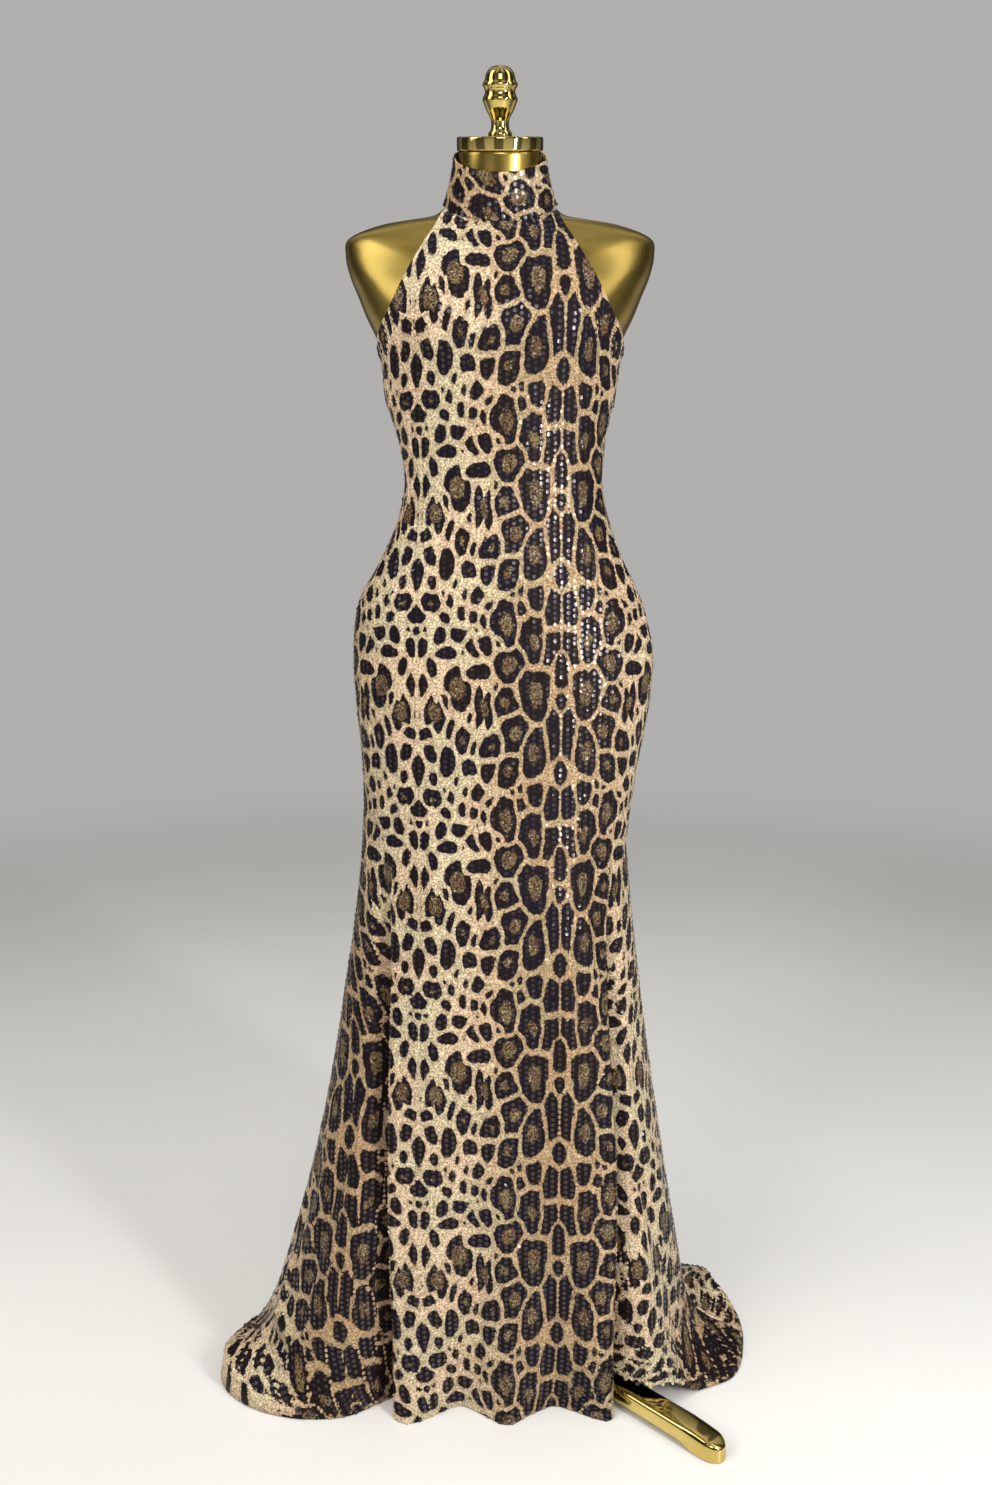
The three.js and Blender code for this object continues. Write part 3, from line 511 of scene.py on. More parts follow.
def print_fields(across, down, turned):
    """How deep each place lies in a spot and in its eye, in millimetres, and its tone."""
    shape = np.shape(across)
    u, v = np.ravel(across), np.ravel(down)
    s, c = np.sin(np.radians(turned)), np.cos(np.radians(turned))
    u, v = u * c - v * s, u * s + v * c
    p = np.abs(u - 2 * HALF_REPEAT * np.round(u / (2 * HALF_REPEAT)))
    q = v % REPEAT
    calm = ease(p, 0, 12) * ease(HALF_REPEAT - p, 0, 12)
    step = REPEAT / 14
    px = p + calm * (2.6 * ripple(p / step, q / step, 1, 14) + ripple(p / step * 3, q / step * 3, 2, 42))
    qx = q + 2.6 * ripple(p / step, q / step, 3, 14) + ripple(p / step * 3, q / step * 3, 4, 42)
    best = np.full(u.size, -1e3)
    second = np.full(u.size, -1e3)
    eye_depth = np.full(u.size, -1e3)
    for x, y, wide, high, tilt, eye, breaks, phase in spot_copies():
        near = np.nonzero((np.abs(px - x) < 46) & (np.abs(qx - y) < 52))[0]
        if not near.size:
            continue
        s, c = np.sin(np.radians(tilt)), np.cos(np.radians(tilt))
        dx, dy = px[near] - x, qx[near] - y
        swell = mix(CROWDED, SPARSE, ease(abs(x), 70, 130)) if abs(x) > 20 else 1.04
        wide, high = wide * swell, high * swell
        along, over = (dx * c + dy * s) / wide, (dy * c - dx * s) / high
        taper = 0.24 if 20 < abs(x) < 45 else 0.3 * np.sin(1.7 * x + y)
        along = along / (1 - taper * np.clip(over, -1, 1))
        out = (np.abs(along) ** 2.25 + np.abs(over) ** 2.25) ** (1 / 2.25)
        size = min(wide, high)
        depth = (1 - out) * size
        inner = (eye - out) * size if eye else np.full(near.size, -1e3)
        if breaks:
            ring = np.cos(breaks * (np.arctan2(over, along) - np.radians(phase)))
            cut = np.clip((ring - (0.82 if breaks == 1 else 0.62)) * 22, 0, 9)
            depth = depth - cut * ease(out, eye * 0.5, eye)
        better = depth > best[near]
        second[near] = np.where(better, best[near], np.maximum(second[near], depth))
        best[near] = np.where(better, depth, best[near])
        eye_depth[near] = np.where(better, inner, eye_depth[near])
    gap = mix(SPINE_GAP, SPOT_GAP, ease(p, 4, 13))
    grown = best + mix(SPREAD, SPREAD_SPARSE, ease(p, 50, 120))
    spot = np.minimum(grown, (best - second - gap) / 2)
    spot, eye_depth = np.clip(spot, -8, 8), np.clip(eye_depth, -8, 8)
    return spot.reshape(shape), eye_depth.reshape(shape), (p / HALF_REPEAT).reshape(shape)


# ------------------------------------------------------------------ meshes
def mesh_object(name, points, faces, smooth=True):
    """A mesh object from points in millimetres and faces that all have the same corners."""
    points = np.asarray(points, float).reshape(-1, 3) * MM
    faces = np.asarray(faces, np.int32)
    mesh = bpy.data.meshes.new(name)
    mesh.vertices.add(len(points))
    mesh.vertices.foreach_set("co", points.astype(np.float32).ravel())
    mesh.loops.add(faces.size)
    mesh.loops.foreach_set("vertex_index", faces.ravel())
    mesh.polygons.add(len(faces))
    mesh.polygons.foreach_set("loop_start", np.arange(0, faces.size, faces.shape[1], dtype=np.int32))
    mesh.update(calc_edges=True)
    mesh.validate()
    mesh.polygons.foreach_set("use_smooth", np.full(len(faces), smooth))
    made = bpy.data.objects.new(name, mesh)
    bpy.context.scene.collection.objects.link(made)
    return made


def set_values(obj, **columns):
    for name, values in columns.items():
        layer = obj.data.attributes.new(name, "FLOAT", "POINT")
        layer.data.foreach_set("value", np.asarray(values, np.float32).ravel())


def set_cloth_map(obj, across, down):
    """A map of the cloth laid flat, in metres, for weave and glitter."""
    corner = np.zeros(len(obj.data.loops), np.int32)
    obj.data.loops.foreach_get("vertex_index", corner)
    flat = np.stack([np.ravel(across)[corner], np.ravel(down)[corner]], -1) * MM
    obj.data.uv_layers.new(name="cloth").data.foreach_set("uv", flat.astype(np.float32).ravel())


def grid_faces(rows, columns, wrap=False):
    r, c = np.meshgrid(np.arange(rows - 1), np.arange(columns if wrap else columns - 1), indexing="ij")
    n = (c + 1) % columns
    quads = [r * columns + c, (r + 1) * columns + c, (r + 1) * columns + n, r * columns + n]
    return np.stack(quads, -1).reshape(-1, 4)


def turned_grid(profile, sides):
    """Points of a body turned about Z from radius and height pairs."""
    at = np.arange(sides) * 2 * np.pi / sides
    radius, height = profile[:, 0:1], profile[:, 1:2]
    return np.stack([radius * np.cos(at), radius * np.sin(at), height + 0 * at], -1)


def finish(obj, material, slot, *nodes):
    obj.data.materials.append(material)
    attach(obj, "root")
    if nodes:
        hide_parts(*nodes)
    return obj


# ------------------------------------------------------------------ node helpers
def add(tree, kind, *links, **values):
    """A node with its settings, its inputs by number or name, and links to sockets."""
    node = tree.nodes.new(kind)
    for name, value in values.items():
        setattr(node, name, value)
    for socket, source in links:
        if isinstance(source, bpy.types.NodeSocket):
            tree.links.new(source, node.inputs[socket])
        else:
            node.inputs[socket].default_value = source
    return node


def math(tree, operation, a, b=None, c=None, clamp=False):
    links = [(i, v) for i, v in enumerate((a, b, c)) if v is not None]
    return add(tree, "ShaderNodeMath", *links, operation=operation, use_clamp=clamp).outputs[0]


def object_place(tree):
    return add(tree, "ShaderNodeTexCoord").outputs["Object"]


def attribute(tree, name):
    return add(tree, "ShaderNodeAttribute", attribute_name=name).outputs["Fac"]


def noise_at(tree, place, scale, detail):
    return add(
        tree, "ShaderNodeTexNoise", ("Vector", place), ("Scale", scale), ("Detail", detail)
    ).outputs["Fac"]


def blend(tree, factor, a, b, kind="MIX"):
    node = add(tree, "ShaderNodeMix", data_type="RGBA", blend_type=kind)
    for socket, value in ((0, factor), (6, a), (7, b)):
        if isinstance(value, bpy.types.NodeSocket):
            tree.links.new(value, node.inputs[socket])
        else:
            node.inputs[socket].default_value = value
    return node.outputs[2]


def step_up(tree, value, low, high):
    node = add(tree, "ShaderNodeMapRange", (0, value), (1, low), (2, high), interpolation_type="SMOOTHSTEP")
    return node.outputs[0]


def new_group(name, inputs, outputs):
    """A shader node group with named sockets, and its input and output nodes."""
    group = bpy.data.node_groups.new(name, "ShaderNodeTree")
    for socket, kind, default in inputs:
        made = group.interface.new_socket(socket, in_out="INPUT", socket_type=kind)
        made.default_value = default
    for socket, kind in outputs:
        group.interface.new_socket(socket, in_out="OUTPUT", socket_type=kind)
    return group, group.nodes.new("NodeGroupInput").outputs, group.nodes.new("NodeGroupOutput").inputs


def use_group(tree, group, **values):
    node = tree.nodes.new("ShaderNodeGroup")
    node.node_tree = group
    for name, value in values.items():
        socket = node.inputs[name.replace("_", " ")]
        if isinstance(value, bpy.types.NodeSocket):
            tree.links.new(value, socket)
        else:
            socket.default_value = value
    return node.outputs


def new_material(name, **constants):
    """A material with its tree and its Principled shader, which holds the constants."""
    material = bpy.data.materials.new(name)
    material.use_nodes = True
    shader = material.node_tree.nodes["Principled BSDF"]
    for socket, value in constants.items():
        shader.inputs[socket.replace("_", " ")].default_value = value
    return material, material.node_tree, shader


def rgba(colour):
    return (*colour, 1.0)


# ------------------------------------------------------------------ node groups
def leopard_print_group():
    """Colour of the print from each place's depth in a spot and in its eye, and its tone."""
    group, given, out = new_group(
        "leopard print",
        [
            ("Spine Ground", "NodeSocketColor", (0.40, 0.24, 0.10, 1)),
            ("Belly Ground", "NodeSocketColor", (0.62, 0.49, 0.27, 1)),
            ("Spot", "NodeSocketColor", (0.008, 0.005, 0.006, 1)),
            ("Eye", "NodeSocketColor", (0.13, 0.07, 0.025, 1)),
        ],
        [("Color", "NodeSocketColor"), ("Dark", "NodeSocketFloat")],
    )
    place = object_place(group)
    spot, eye, tone = (attribute(group, "print_" + name) for name in ("spot", "eye", "tone"))

    def noise(scale, detail, seed):
        shifted = add(group, "ShaderNodeVectorMath", (0, place), (1, (seed, seed * 0.7, 0)), operation="ADD")
        return noise_at(group, shifted.outputs[0], scale, detail)

    drift = noise(14, 2, 3.1)
    speck = noise(430, 1.5, 7.7)
    ragged = math(group, "MULTIPLY_ADD", math(group, "SUBTRACT", noise(330, 2, 1.3), 0.5), 2.6, spot)
    dark = step_up(group, ragged, -0.25, 0.55)
    eye_ragged = math(group, "MULTIPLY_ADD", math(group, "SUBTRACT", noise(260, 2, 5.3), 0.5), 6.5, eye)
    eye_mask = step_up(group, eye_ragged, -0.6, 1.2)

    ground = blend(group, step_up(group, tone, 0.08, 0.8), given["Spine Ground"], given["Belly Ground"])
    rosy = blend(group, step_up(group, drift, 0.40, 0.64), (1.06, 0.96, 0.90, 1), (0.95, 0.98, 0.88, 1))
    ground = blend(group, 1.0, ground, rosy, "MULTIPLY")
    grain = blend(group, step_up(group, speck, 0.36, 0.66), (0.50, 0.46, 0.42, 1), (1.32, 1.32, 1.32, 1))
    ground = blend(group, 1.0, ground, grain, "MULTIPLY")
    warm = blend(group, step_up(group, noise(90, 2, 9.1), 0.45, 0.6), given["Eye"], (0.20, 0.15, 0.06, 1))
    warm = blend(group, step_up(group, speck, 0.40, 0.60), (0.02, 0.013, 0.01, 1), warm)
    halo = math(group, "MULTIPLY", step_up(group, spot, -3.2, 0), 0.25)
    ground = blend(group, halo, ground, given["Eye"])
    ink = blend(group, step_up(group, drift, 0.4, 0.65), given["Spot"], (0.006, 0.004, 0.009, 1))
    colour = blend(group, dark, ground, blend(group, eye_mask, ink, warm))
    group.links.new(colour, out["Color"])
    group.links.new(math(group, "MULTIPLY", dark, math(group, "SUBTRACT", 1, eye_mask)), out["Dark"])
    return group


def knit_group():
    """Fine ribbed knit with glitter specks, as a height and a speck mask."""
    group, given, out = new_group(
        "ribbed knit",
        [("Ribs", "NodeSocketFloat", 700.0), ("Specks", "NodeSocketFloat", 620.0)],
        [("Height", "NodeSocketFloat"), ("Speck", "NodeSocketFloat")],
    )
    flat = add(group, "ShaderNodeUVMap", uv_map="cloth").outputs[0]
    split = add(group, "ShaderNodeSeparateXYZ", (0, flat))

    def wave(axis, turn_per_rib):
        ribs = math(group, "MULTIPLY", split.outputs[axis], given["Ribs"])
        return math(group, "SINE", math(group, "MULTIPLY", ribs, turn_per_rib))

    wale, course = wave(0, 6.2832), wave(1, 8.8)
    loops = math(group, "MULTIPLY_ADD", math(group, "MULTIPLY", wale, course), 0.5, wale)
    cells = add(
        group, "ShaderNodeTexVoronoi", ("Vector", object_place(group)), ("Scale", given["Specks"]))
    speck = step_up(group, cells.outputs["Color"], 0.72, 0.9)
    height = math(group, "MULTIPLY_ADD", speck, 0.8, math(group, "MULTIPLY", loops, 0.35))
    group.links.new(height, out["Height"])
    group.links.new(speck, out["Speck"])
    return group


def lacquer_group():
    """Cloudy gloss of gold lacquer: roughness between two values, and a slight orange peel."""
    group, given, out = new_group(
        "gold lacquer",
        [
            ("Smooth", "NodeSocketFloat", 0.2),
            ("Cloudy", "NodeSocketFloat", 0.35),
            ("Bright", "NodeSocketColor", (0.8, 0.6, 0.2, 1)),
            ("Deep", "NodeSocketColor", (0.6, 0.4, 0.1, 1)),
        ],
        [("Color", "NodeSocketColor"), ("Roughness", "NodeSocketFloat"), ("Height", "NodeSocketFloat")],
    )
    place = object_place(group)
    cloud = noise_at(group, place, 9.0, 3.0)
    rub = noise_at(group, place, 120.0, 2.0)
    peel = noise_at(group, place, 420.0, 1.0)
    both = math(group, "MULTIPLY_ADD", math(group, "SUBTRACT", rub, 0.5), 0.08, cloud)
    spread = step_up(group, both, 0.3, 0.72)
    rise = math(group, "SUBTRACT", given["Cloudy"], given["Smooth"])
    rough = math(group, "MULTIPLY_ADD", spread, rise, given["Smooth"])
    group.links.new(blend(group, spread, given["Bright"], given["Deep"]), out["Color"])
    group.links.new(rough, out["Roughness"])
    group.links.new(peel, out["Height"])
    return group


# ------------------------------------------------------------------ materials
def group_named(name, maker):
    return bpy.data.node_groups.get(name) or maker()


def material_named(name, maker):
    return bpy.data.materials.get(name) or maker(name)


def bump(tree, shader, height, strength, distance):
    node = add(tree, "ShaderNodeBump", ("Height", height), ("Strength", strength), ("Distance", distance))
    tree.links.new(node.outputs[0], shader.inputs["Normal"])


def leopard_print(tree):
    """The print group in a material, with the colours of the panel."""
    looks = bpy.context.scene.gown_print
    return use_group(
        tree, group_named("leopard print", leopard_print_group), Spine_Ground=rgba(looks.spine_ground),
        Belly_Ground=rgba(looks.belly_ground), Spot=rgba(looks.spot), Eye=rgba(looks.eye),
    )


def printed_knit(name):
    material, tree, shader = new_material(
        name, Sheen_Weight=0.02, Sheen_Roughness=0.4, Specular_IOR_Level=0.15,
        Specular_Tint=(1, 0.84, 0.8, 1),
    )
    pattern = leopard_print(tree)
    knit = use_group(tree, group_named("ribbed knit", knit_group))
    inside = add(tree, "ShaderNodeNewGeometry").outputs["Backfacing"]
    # Painted glints: at the glitter specks a pale colour is screened into the base colour, but not in the
    # dark spots.
    glitter = math(tree, "MULTIPLY", knit["Speck"], 0.5)
    glint = blend(tree, glitter, pattern["Color"], (0.62, 0.55, 0.42, 1), "SCREEN")
    lit = blend(tree, pattern["Dark"], glint, pattern["Color"])
    print_glints_and_lining = blend(tree, inside, lit, blend(tree, 0.7, pattern["Color"], (0.03, 0.025, 0.02, 1)))
    tree.links.new(print_glints_and_lining, shader.inputs["Base Color"])
    tree.links.new(math(tree, "MULTIPLY_ADD", knit["Speck"], -0.25, 0.62), shader.inputs["Roughness"])
    bump(tree, shader, knit["Height"], 0.35, 0.0004)
    return material


def sequin_film(name):
    material, tree, shader = new_material(
        name, IOR=1.6, Coat_Weight=0.1, Coat_Roughness=0.1, Specular_IOR_Level=0.5,
        Specular_Tint=(1, 0.88, 0.84, 1),
    )
    pattern = leopard_print(tree)
    shade = attribute(tree, "sequin_shade")
    lift = math(tree, "MULTIPLY", shade, 0.5)
    film = blend(tree, lift, pattern["Color"], (0.016, 0.013, 0.015, 1), "SCREEN")
    tree.links.new(film, shader.inputs["Base Color"])
    tree.links.new(math(tree, "MULTIPLY_ADD", shade, 0.14, 0.2), shader.inputs["Roughness"])
    tree.links.new(math(tree, "MULTIPLY", shade, 0.12), shader.inputs["Metallic"])
    return material


def gold(name, bright, deep, smooth, cloudy, peel, coat):
    material, tree, shader = new_material(name, Metallic=1.0, Coat_Weight=coat, Coat_Roughness=0.05)
    finish_ = use_group(
        tree, group_named("gold lacquer", lacquer_group), Smooth=smooth, Cloudy=cloudy,
        Bright=rgba(bright), Deep=rgba(deep),
    )
    tree.links.new(finish_["Color"], shader.inputs["Base Color"])
    tree.links.new(finish_["Roughness"], shader.inputs["Roughness"])
    bump(tree, shader, finish_["Height"], peel, 0.0006)
    return material


def satin_gold(name):
    looks = bpy.context.scene.gown_gold
    return gold(name, looks.satin, (0.44, 0.31, 0.07), 0.25, 0.29, 0.005, 0.1)


def bright_gold(name):
    looks = bpy.context.scene.gown_gold
    return gold(name, looks.bright, (0.60, 0.45, 0.14), 0.05, 0.10, 0.02, 0.0)


def zip_tape(name):
    material, tree, shader = new_material(name, Roughness=0.7)
    weave = add(
        tree, "ShaderNodeTexWave", ("Vector", object_place(tree)), ("Scale", 900.0),
        ("Distortion", 1.0), bands_direction="Z")
    tone = blend(tree, weave.outputs["Fac"], (0.012, 0.009, 0.007, 1), (0.03, 0.023, 0.018, 1))
    tree.links.new(tone, shader.inputs["Base Color"])
    bump(tree, shader, weave.outputs["Fac"], 0.4, 0.0002)
    return material


# ------------------------------------------------------------------ sizes and colours
class GownSequins(bpy.types.PropertyGroup):
    """Sizes of the sequins."""

    diameter: FloatProperty(
        name="Diameter", description="Width of one sequin", default=0.0057, min=0.002, max=0.01,
        unit="LENGTH")
    apart: FloatProperty(
        name="Apart", description="From one upright row of sequins to the next", default=0.0087,
        min=0.003, max=0.02, unit="LENGTH")
    down: FloatProperty(
        name="Down", description="From one sequin to the next in its row", default=0.007,
        min=0.003, max=0.02, unit="LENGTH")
    tilt: FloatProperty(
        name="Tilt", description="How far sequins lie from flat", default=0.07, min=0, max=0.5,
        subtype="ANGLE")


class GownPrint(bpy.types.PropertyGroup):
    """Colours of the leopard print."""

    spine_ground: FloatVectorProperty(
        name="Spine ground", description="Tan between the crowded spots", size=3,
        default=(0.43, 0.315, 0.185), subtype="COLOR", min=0, max=1)
    belly_ground: FloatVectorProperty(
        name="Belly ground", description="Pale ground between the sparse spots", size=3,
        default=(0.60, 0.505, 0.36), subtype="COLOR", min=0, max=1)
    spot: FloatVectorProperty(
        name="Spot", description="Black of the spots", size=3, default=(0.008, 0.0045, 0.005),
        subtype="COLOR", min=0, max=1)
    eye: FloatVectorProperty(
        name="Eye", description="Brown inside a rosette", size=3, default=(0.16, 0.085, 0.035),
        subtype="COLOR", min=0, max=1)


class GownGold(bpy.types.PropertyGroup):
    """Colours of the form's gold."""

    satin: FloatVectorProperty(
        name="Satin", description="Lacquered gold of the body form", size=3,
        default=(0.48, 0.34, 0.08), subtype="COLOR", min=0, max=1)
    bright: FloatVectorProperty(
        name="Bright", description="Polished gold of the cap, knob and stand", size=3,
        default=(0.72, 0.57, 0.20), subtype="COLOR", min=0, max=1)


class GownStudio(bpy.types.PropertyGroup):
    """The camera and the light."""

    distance: FloatProperty(
        name="Distance", description="From the camera to the pole, level", default=1.62,
        min=0.5, max=10, unit="LENGTH")
    height: FloatProperty(
        name="Height", description="Of the camera above the floor", default=1.16, min=0, max=5,
        unit="LENGTH")
    pitch: FloatProperty(
        name="Pitch", description="How far the camera looks down", default=0.17139, min=-1.5,
        max=1.5, subtype="ANGLE")
    light: IntProperty(
        name="Light", description="Strength of the studio lamps, in percent", default=100,
        min=1, max=1000, subtype="PERCENTAGE")


SETTINGS = {
    "gown_sequins": GownSequins, "gown_print": GownPrint,
    "gown_gold": GownGold, "gown_studio": GownStudio,
}


# ------------------------------------------------------------------ cloth pieces
def cloth_sheet(name, grid, ends, turned):
    """A sheet of printed knit from its grid, with its sewn edges turned under."""
    points, _, across, down = turn_under(*grid, ends)
    rows, columns = points.shape[:2]
    sheet = mesh_object(name, points, grid_faces(rows, columns))
    spot, eye, tone = print_fields(across, down, turned)
    set_values(sheet, print_spot=spot, print_eye=eye, print_tone=tone)
    set_cloth_map(sheet, across, down)
    return sheet


def sequin_places(grid, sequins, margin=3.6):
    """Middle, normal and flat place of each sequin, in upright rows set half a step apart."""
    points, normals, across, down = grid
    fall = down[:, down.shape[1] // 2]
    apart, step = sequins.apart / MM, sequins.down / MM
    found = []
    for j in range(int(np.ceil((fall.min() + margin) / step)), int((fall.max() - margin) / step) + 1):
        row = np.interp(j * step, fall, np.arange(len(fall)))
        low = min(int(row), len(fall) - 2)
        share = row - low
        line, normal, along = (mix(g[low], g[low + 1], share) for g in (points, normals, across))
        first = np.ceil((along[0] + margin) / apart)
        last = np.floor((along[-1] - margin) / apart)
        for parity in (0, 1):
            u = np.arange(first, last + 1)
            u = u[u % 2 == parity] * apart
            half = step / 2 * parity
            rise = np.interp(u, along, np.arange(len(along)))
            left = np.clip(rise.astype(int), 0, len(along) - 2)
            part = (rise - left)[:, None]
            middle = mix(line[left], line[left + 1], part)
            facing = unit(mix(normal[left], normal[left + 1], part))
            if half and low + 3 < len(fall):
                below = unit(points[low + 2] - points[low])
                middle = middle + below[left] * half
            depth = np.full((len(u), 1), j * step + half)
            found.append(np.concatenate([middle, facing, u[:, None], depth], 1))
    return np.concatenate(found)


def sequin_layer(name, grid, turned, seed):
    """All sequins of one panel, each a shallow cup of six faces, as one joined mesh."""
    sequins = bpy.context.scene.gown_sequins
    places = sequin_places(grid, sequins)
    middle, facing, u, v = places[:, :3], places[:, 3:6], places[:, 6], places[:, 7]
    rng = np.random.default_rng(seed)
    side = unit(np.cross(np.broadcast_to((0.0, 0.0, 1.0), facing.shape), facing) + 1e-9)
    down = np.cross(side, facing)
    lean = rng.normal(0, sequins.tilt, (len(places), 2))
    loose = rng.random(len(places)) < 0.05
    lean[loose] *= 4
    facing = unit(facing + side * lean[:, :1] + down * lean[:, 1:])
    side = unit(side - facing * np.sum(side * facing, -1, keepdims=True))
    down = np.cross(side, facing)
    radius = sequins.diameter / MM / 2
    angles = np.arange(6) * np.pi / 3 + 0.3
    corners = [
        middle + facing * 0.75 + radius * (np.cos(a) * side + np.sin(a) * down) for a in angles
    ]
    points = np.stack([middle + facing * 0.5] + corners, 1)
    points[..., 2] = np.maximum(points[..., 2], 0.4)
    start = np.arange(len(places))[:, None, None] * 7
    fan = np.array([(0, 1 + (i + 1) % 6, 1 + i) for i in range(6)])
    layer = mesh_object(name, points, (start + fan[None]).reshape(-1, 3))
    us = np.concatenate([u[:, None]] + [(u + radius * np.cos(a))[:, None] for a in angles], 1)
    vs = np.concatenate([v[:, None]] + [(v + radius * np.sin(a))[:, None] for a in angles], 1)
    spot, eye, tone = print_fields(us, vs, turned)
    shade = np.repeat(rng.random(len(places))[:, None], 7, 1)
    set_values(layer, print_spot=spot, print_eye=eye, print_tone=tone, sequin_shade=shade)
    return finish(layer, material_named("sequin film", sequin_film), "sequin_cloth")


def print_place(grid, axis, start):
    """Shifts a grid's flat places so the print's spine runs `axis` from its middle line."""
    points, normals, across, down = grid
    return points, normals, across - axis, down - start


GRIDS = {}


def panel(side):
    if side not in GRIDS:
        axis, start = {0: (78, 6), -1: (-60, 40), 1: (60, 40)}[side]
        GRIDS[side] = print_place(panel_grid(side, 201 if side == 0 else 101), axis, start)
    return GRIDS[side]


def cloth_piece(name, node, grid, ends, seed, turned=0):
    sheet = cloth_sheet(name, grid, ends, turned)
    finish(sheet, material_named("printed knit", printed_knit), "sequin_cloth", node)
    sequins = sequin_layer(name + "_sequins", grid, turned, seed)
    return sheet


class GOWN_OT_front(bpy.types.Operator):
    """Builds the front panel with its folds, print and sequins."""

    bl_idname = "gown.front"
    bl_label = "Front panel"

    def execute(self, context):
        ends = [(0, "last"), (1, "first"), (1, "last")]
        cloth_piece(
            "gown_front", "front_panel", panel(0), ends, 21)
        return {"FINISHED"}


class GOWN_OT_backs(bpy.types.Operator):
    """Builds the two back panels with the train."""

    bl_idname = "gown.backs"
    bl_label = "Back panels"

    def execute(self, context):
        for side, name in ((-1, "left"), (1, "right")):
            ends = [(0, "last"), (1, "first"), (1, "last")]
            cloth_piece(
                "gown_back_" + name, "back_panel_" + name, panel(side), ends,
                22 + side)
        return {"FINISHED"}


class GOWN_OT_collar(bpy.types.Operator):
    """Builds the stand collar, gathered a little at the front of its seam."""

    bl_idname = "gown.collar"
    bl_label = "Collar"

    def execute(self, context):
        grid = print_place(collar_grid(261, 22), -40, 20)
        ends = [(0, "first"), (0, "last"), (1, "first"), (1, "last")]
        cloth_piece(
            "gown_collar", "collar", grid, ends, 31, turned=68)
        return {"FINISHED"}


TEETH = {"start": 4, "end": 490, "apart": 2.2, "behind": 4.1}  # down from the neck seam, and inward


class GOWN_OT_zip(bpy.types.Operator):
    """Builds the closed teeth of the hidden zip and finishes its tape."""

    bl_idname = "gown.zip"
    bl_label = "Back zip"

    def execute(self, context):
        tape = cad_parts["back_zip"]
        tape.data.materials.clear()
        tape.data.materials.append(material_named("zip tape", zip_tape))
        points, normals, _, down = panel(-1)
        fall = down[:, 0]
        places = np.arange(fall[0] + TEETH["start"], fall[0] + TEETH["end"], TEETH["apart"])
        rows = np.interp(places, fall, np.arange(len(fall)))
        low = rows.astype(int)
        middle = mix(points[low, 0], points[low + 1, 0], (rows - low)[:, None])
        back = normals[low, 0]
        along = unit(points[low + 1, 0] - points[low, 0])
        across = np.array((1.0, 0.0, 0.0))
        box = np.array([(x, y, z) for x in (-1, 1) for y in (-1, 1) for z in (-1, 1)], float)
        middle = middle - back * TEETH["behind"]
        middle[:, 0] = np.where(np.arange(len(middle)) % 2, 0.5, -0.5)
        teeth = (
            middle[:, None] + box[:, 0, None] * across * 1.3
            + along[:, None] * box[:, 1, None] * 0.7 + back[:, None] * box[:, 2, None] * 0.35
        )
        faces = np.array([(0, 1, 3, 2), (4, 6, 7, 5), (0, 4, 5, 1), (2, 3, 7, 6), (0, 2, 6, 4), (1, 5, 7, 3)])
        start = np.arange(len(teeth))[:, None, None] * 8
        made = mesh_object("zip_teeth", teeth, (start + faces[None]).reshape(-1, 4), smooth=False)
        finish(made, material_named("zip tape", zip_tape), "zip_nylon")
        return {"FINISHED"}


# ------------------------------------------------------------------ the form and its stand
def closed_rings(name, rings, material, slot, node):
    """A closed body through rings of points, with flat ends."""
    rings = np.asarray(rings)
    rows, columns = rings.shape[:2]
    made = mesh_object(name, rings, grid_faces(rows, columns, wrap=True)[:, ::-1])
    bm = bmesh.new()
    bm.from_mesh(made.data)
    bm.verts.ensure_lookup_table()
    for start, flip in ((0, False), ((rows - 1) * columns, True)):
        ring = [bm.verts[start + i] for i in range(columns)]
        bm.faces.new(ring if flip else ring[::-1]).smooth = False
    bmesh.ops.recalc_face_normals(bm, faces=bm.faces)
    bm.to_mesh(made.data)
    bm.free()
    return finish(made, material, slot, node)


NECK_TILT = np.radians(16)
NECK_TOP = (0, -30, 1621.5)
GAP = 0.3
CAP_HEIGHT = 16
HUB_HEIGHT = 72

# Turned profiles as radius and height, and a leg from the hub out to its foot.
CAP = table(
    "radius height",
    (50.6, 0), (51.5, 0.15), (52.4, 0.6), (52.9, 1.3), (53, 2.2), (53, 13.6), (52.85, 14.7),
    (52.3, 15.5), (51.4, 15.9), (50.4, 16),
)
KNOB = table(
    "radius height",
    (14.5, 0), (14.7, 0.8), (14.6, 3), (14, 4.6), (12.6, 6.2), (11.6, 8), (11, 10.5), (10.8, 14),
    (11.1, 17), (12, 20), (13.6, 23), (15.5, 26), (17, 28.8), (18.2, 31.5), (19.2, 34), (20, 36),
    (20.9, 38.2), (21.3, 39.8), (21, 41.6), (20, 43.6), (18.9, 45.6), (18.2, 48.2), (18.4, 50),
    (19.4, 52), (20.8, 53.8), (21.4, 55.4), (21.1, 57), (20, 58.6), (18.9, 60.3), (18.3, 62.5),
    (17.8, 65), (16.9, 67.7), (15.6, 70), (13.6, 72.4), (11, 74.2), (8, 75.5), (5, 76.2),
    (1.5, 76.5),
)
HUB = table(
    "radius height",
    (31.5, 0), (33, 0.4), (34, 1.6), (34, 43), (33.4, 45), (31, 48), (27, 53), (23.4, 58),
    (21, 61.5), (20, 65), (20, 70), (19.4, 71.5), (18, 72),
)
POLE = table("radius height", (11.9, 0), (12.5, 0.6), (12.5, 668.8), (11.9, 669.4))
LEG = table(
    "out width under top",
    (34.3, 30, 10, 45), (80, 31, 11, 39), (150, 32.5, 10, 34), (230, 34, 9, 31), (300, 35, 8, 30),
    (332, 35.5, 6.6, 29.6), (341, 35.5, 2, 29.3), (347, 35.5, 0, 29), (364, 35, 0, 27),
)
LEG_LENGTH = 387
LEG_NOSE = 364  # where the rounded end of a leg starts
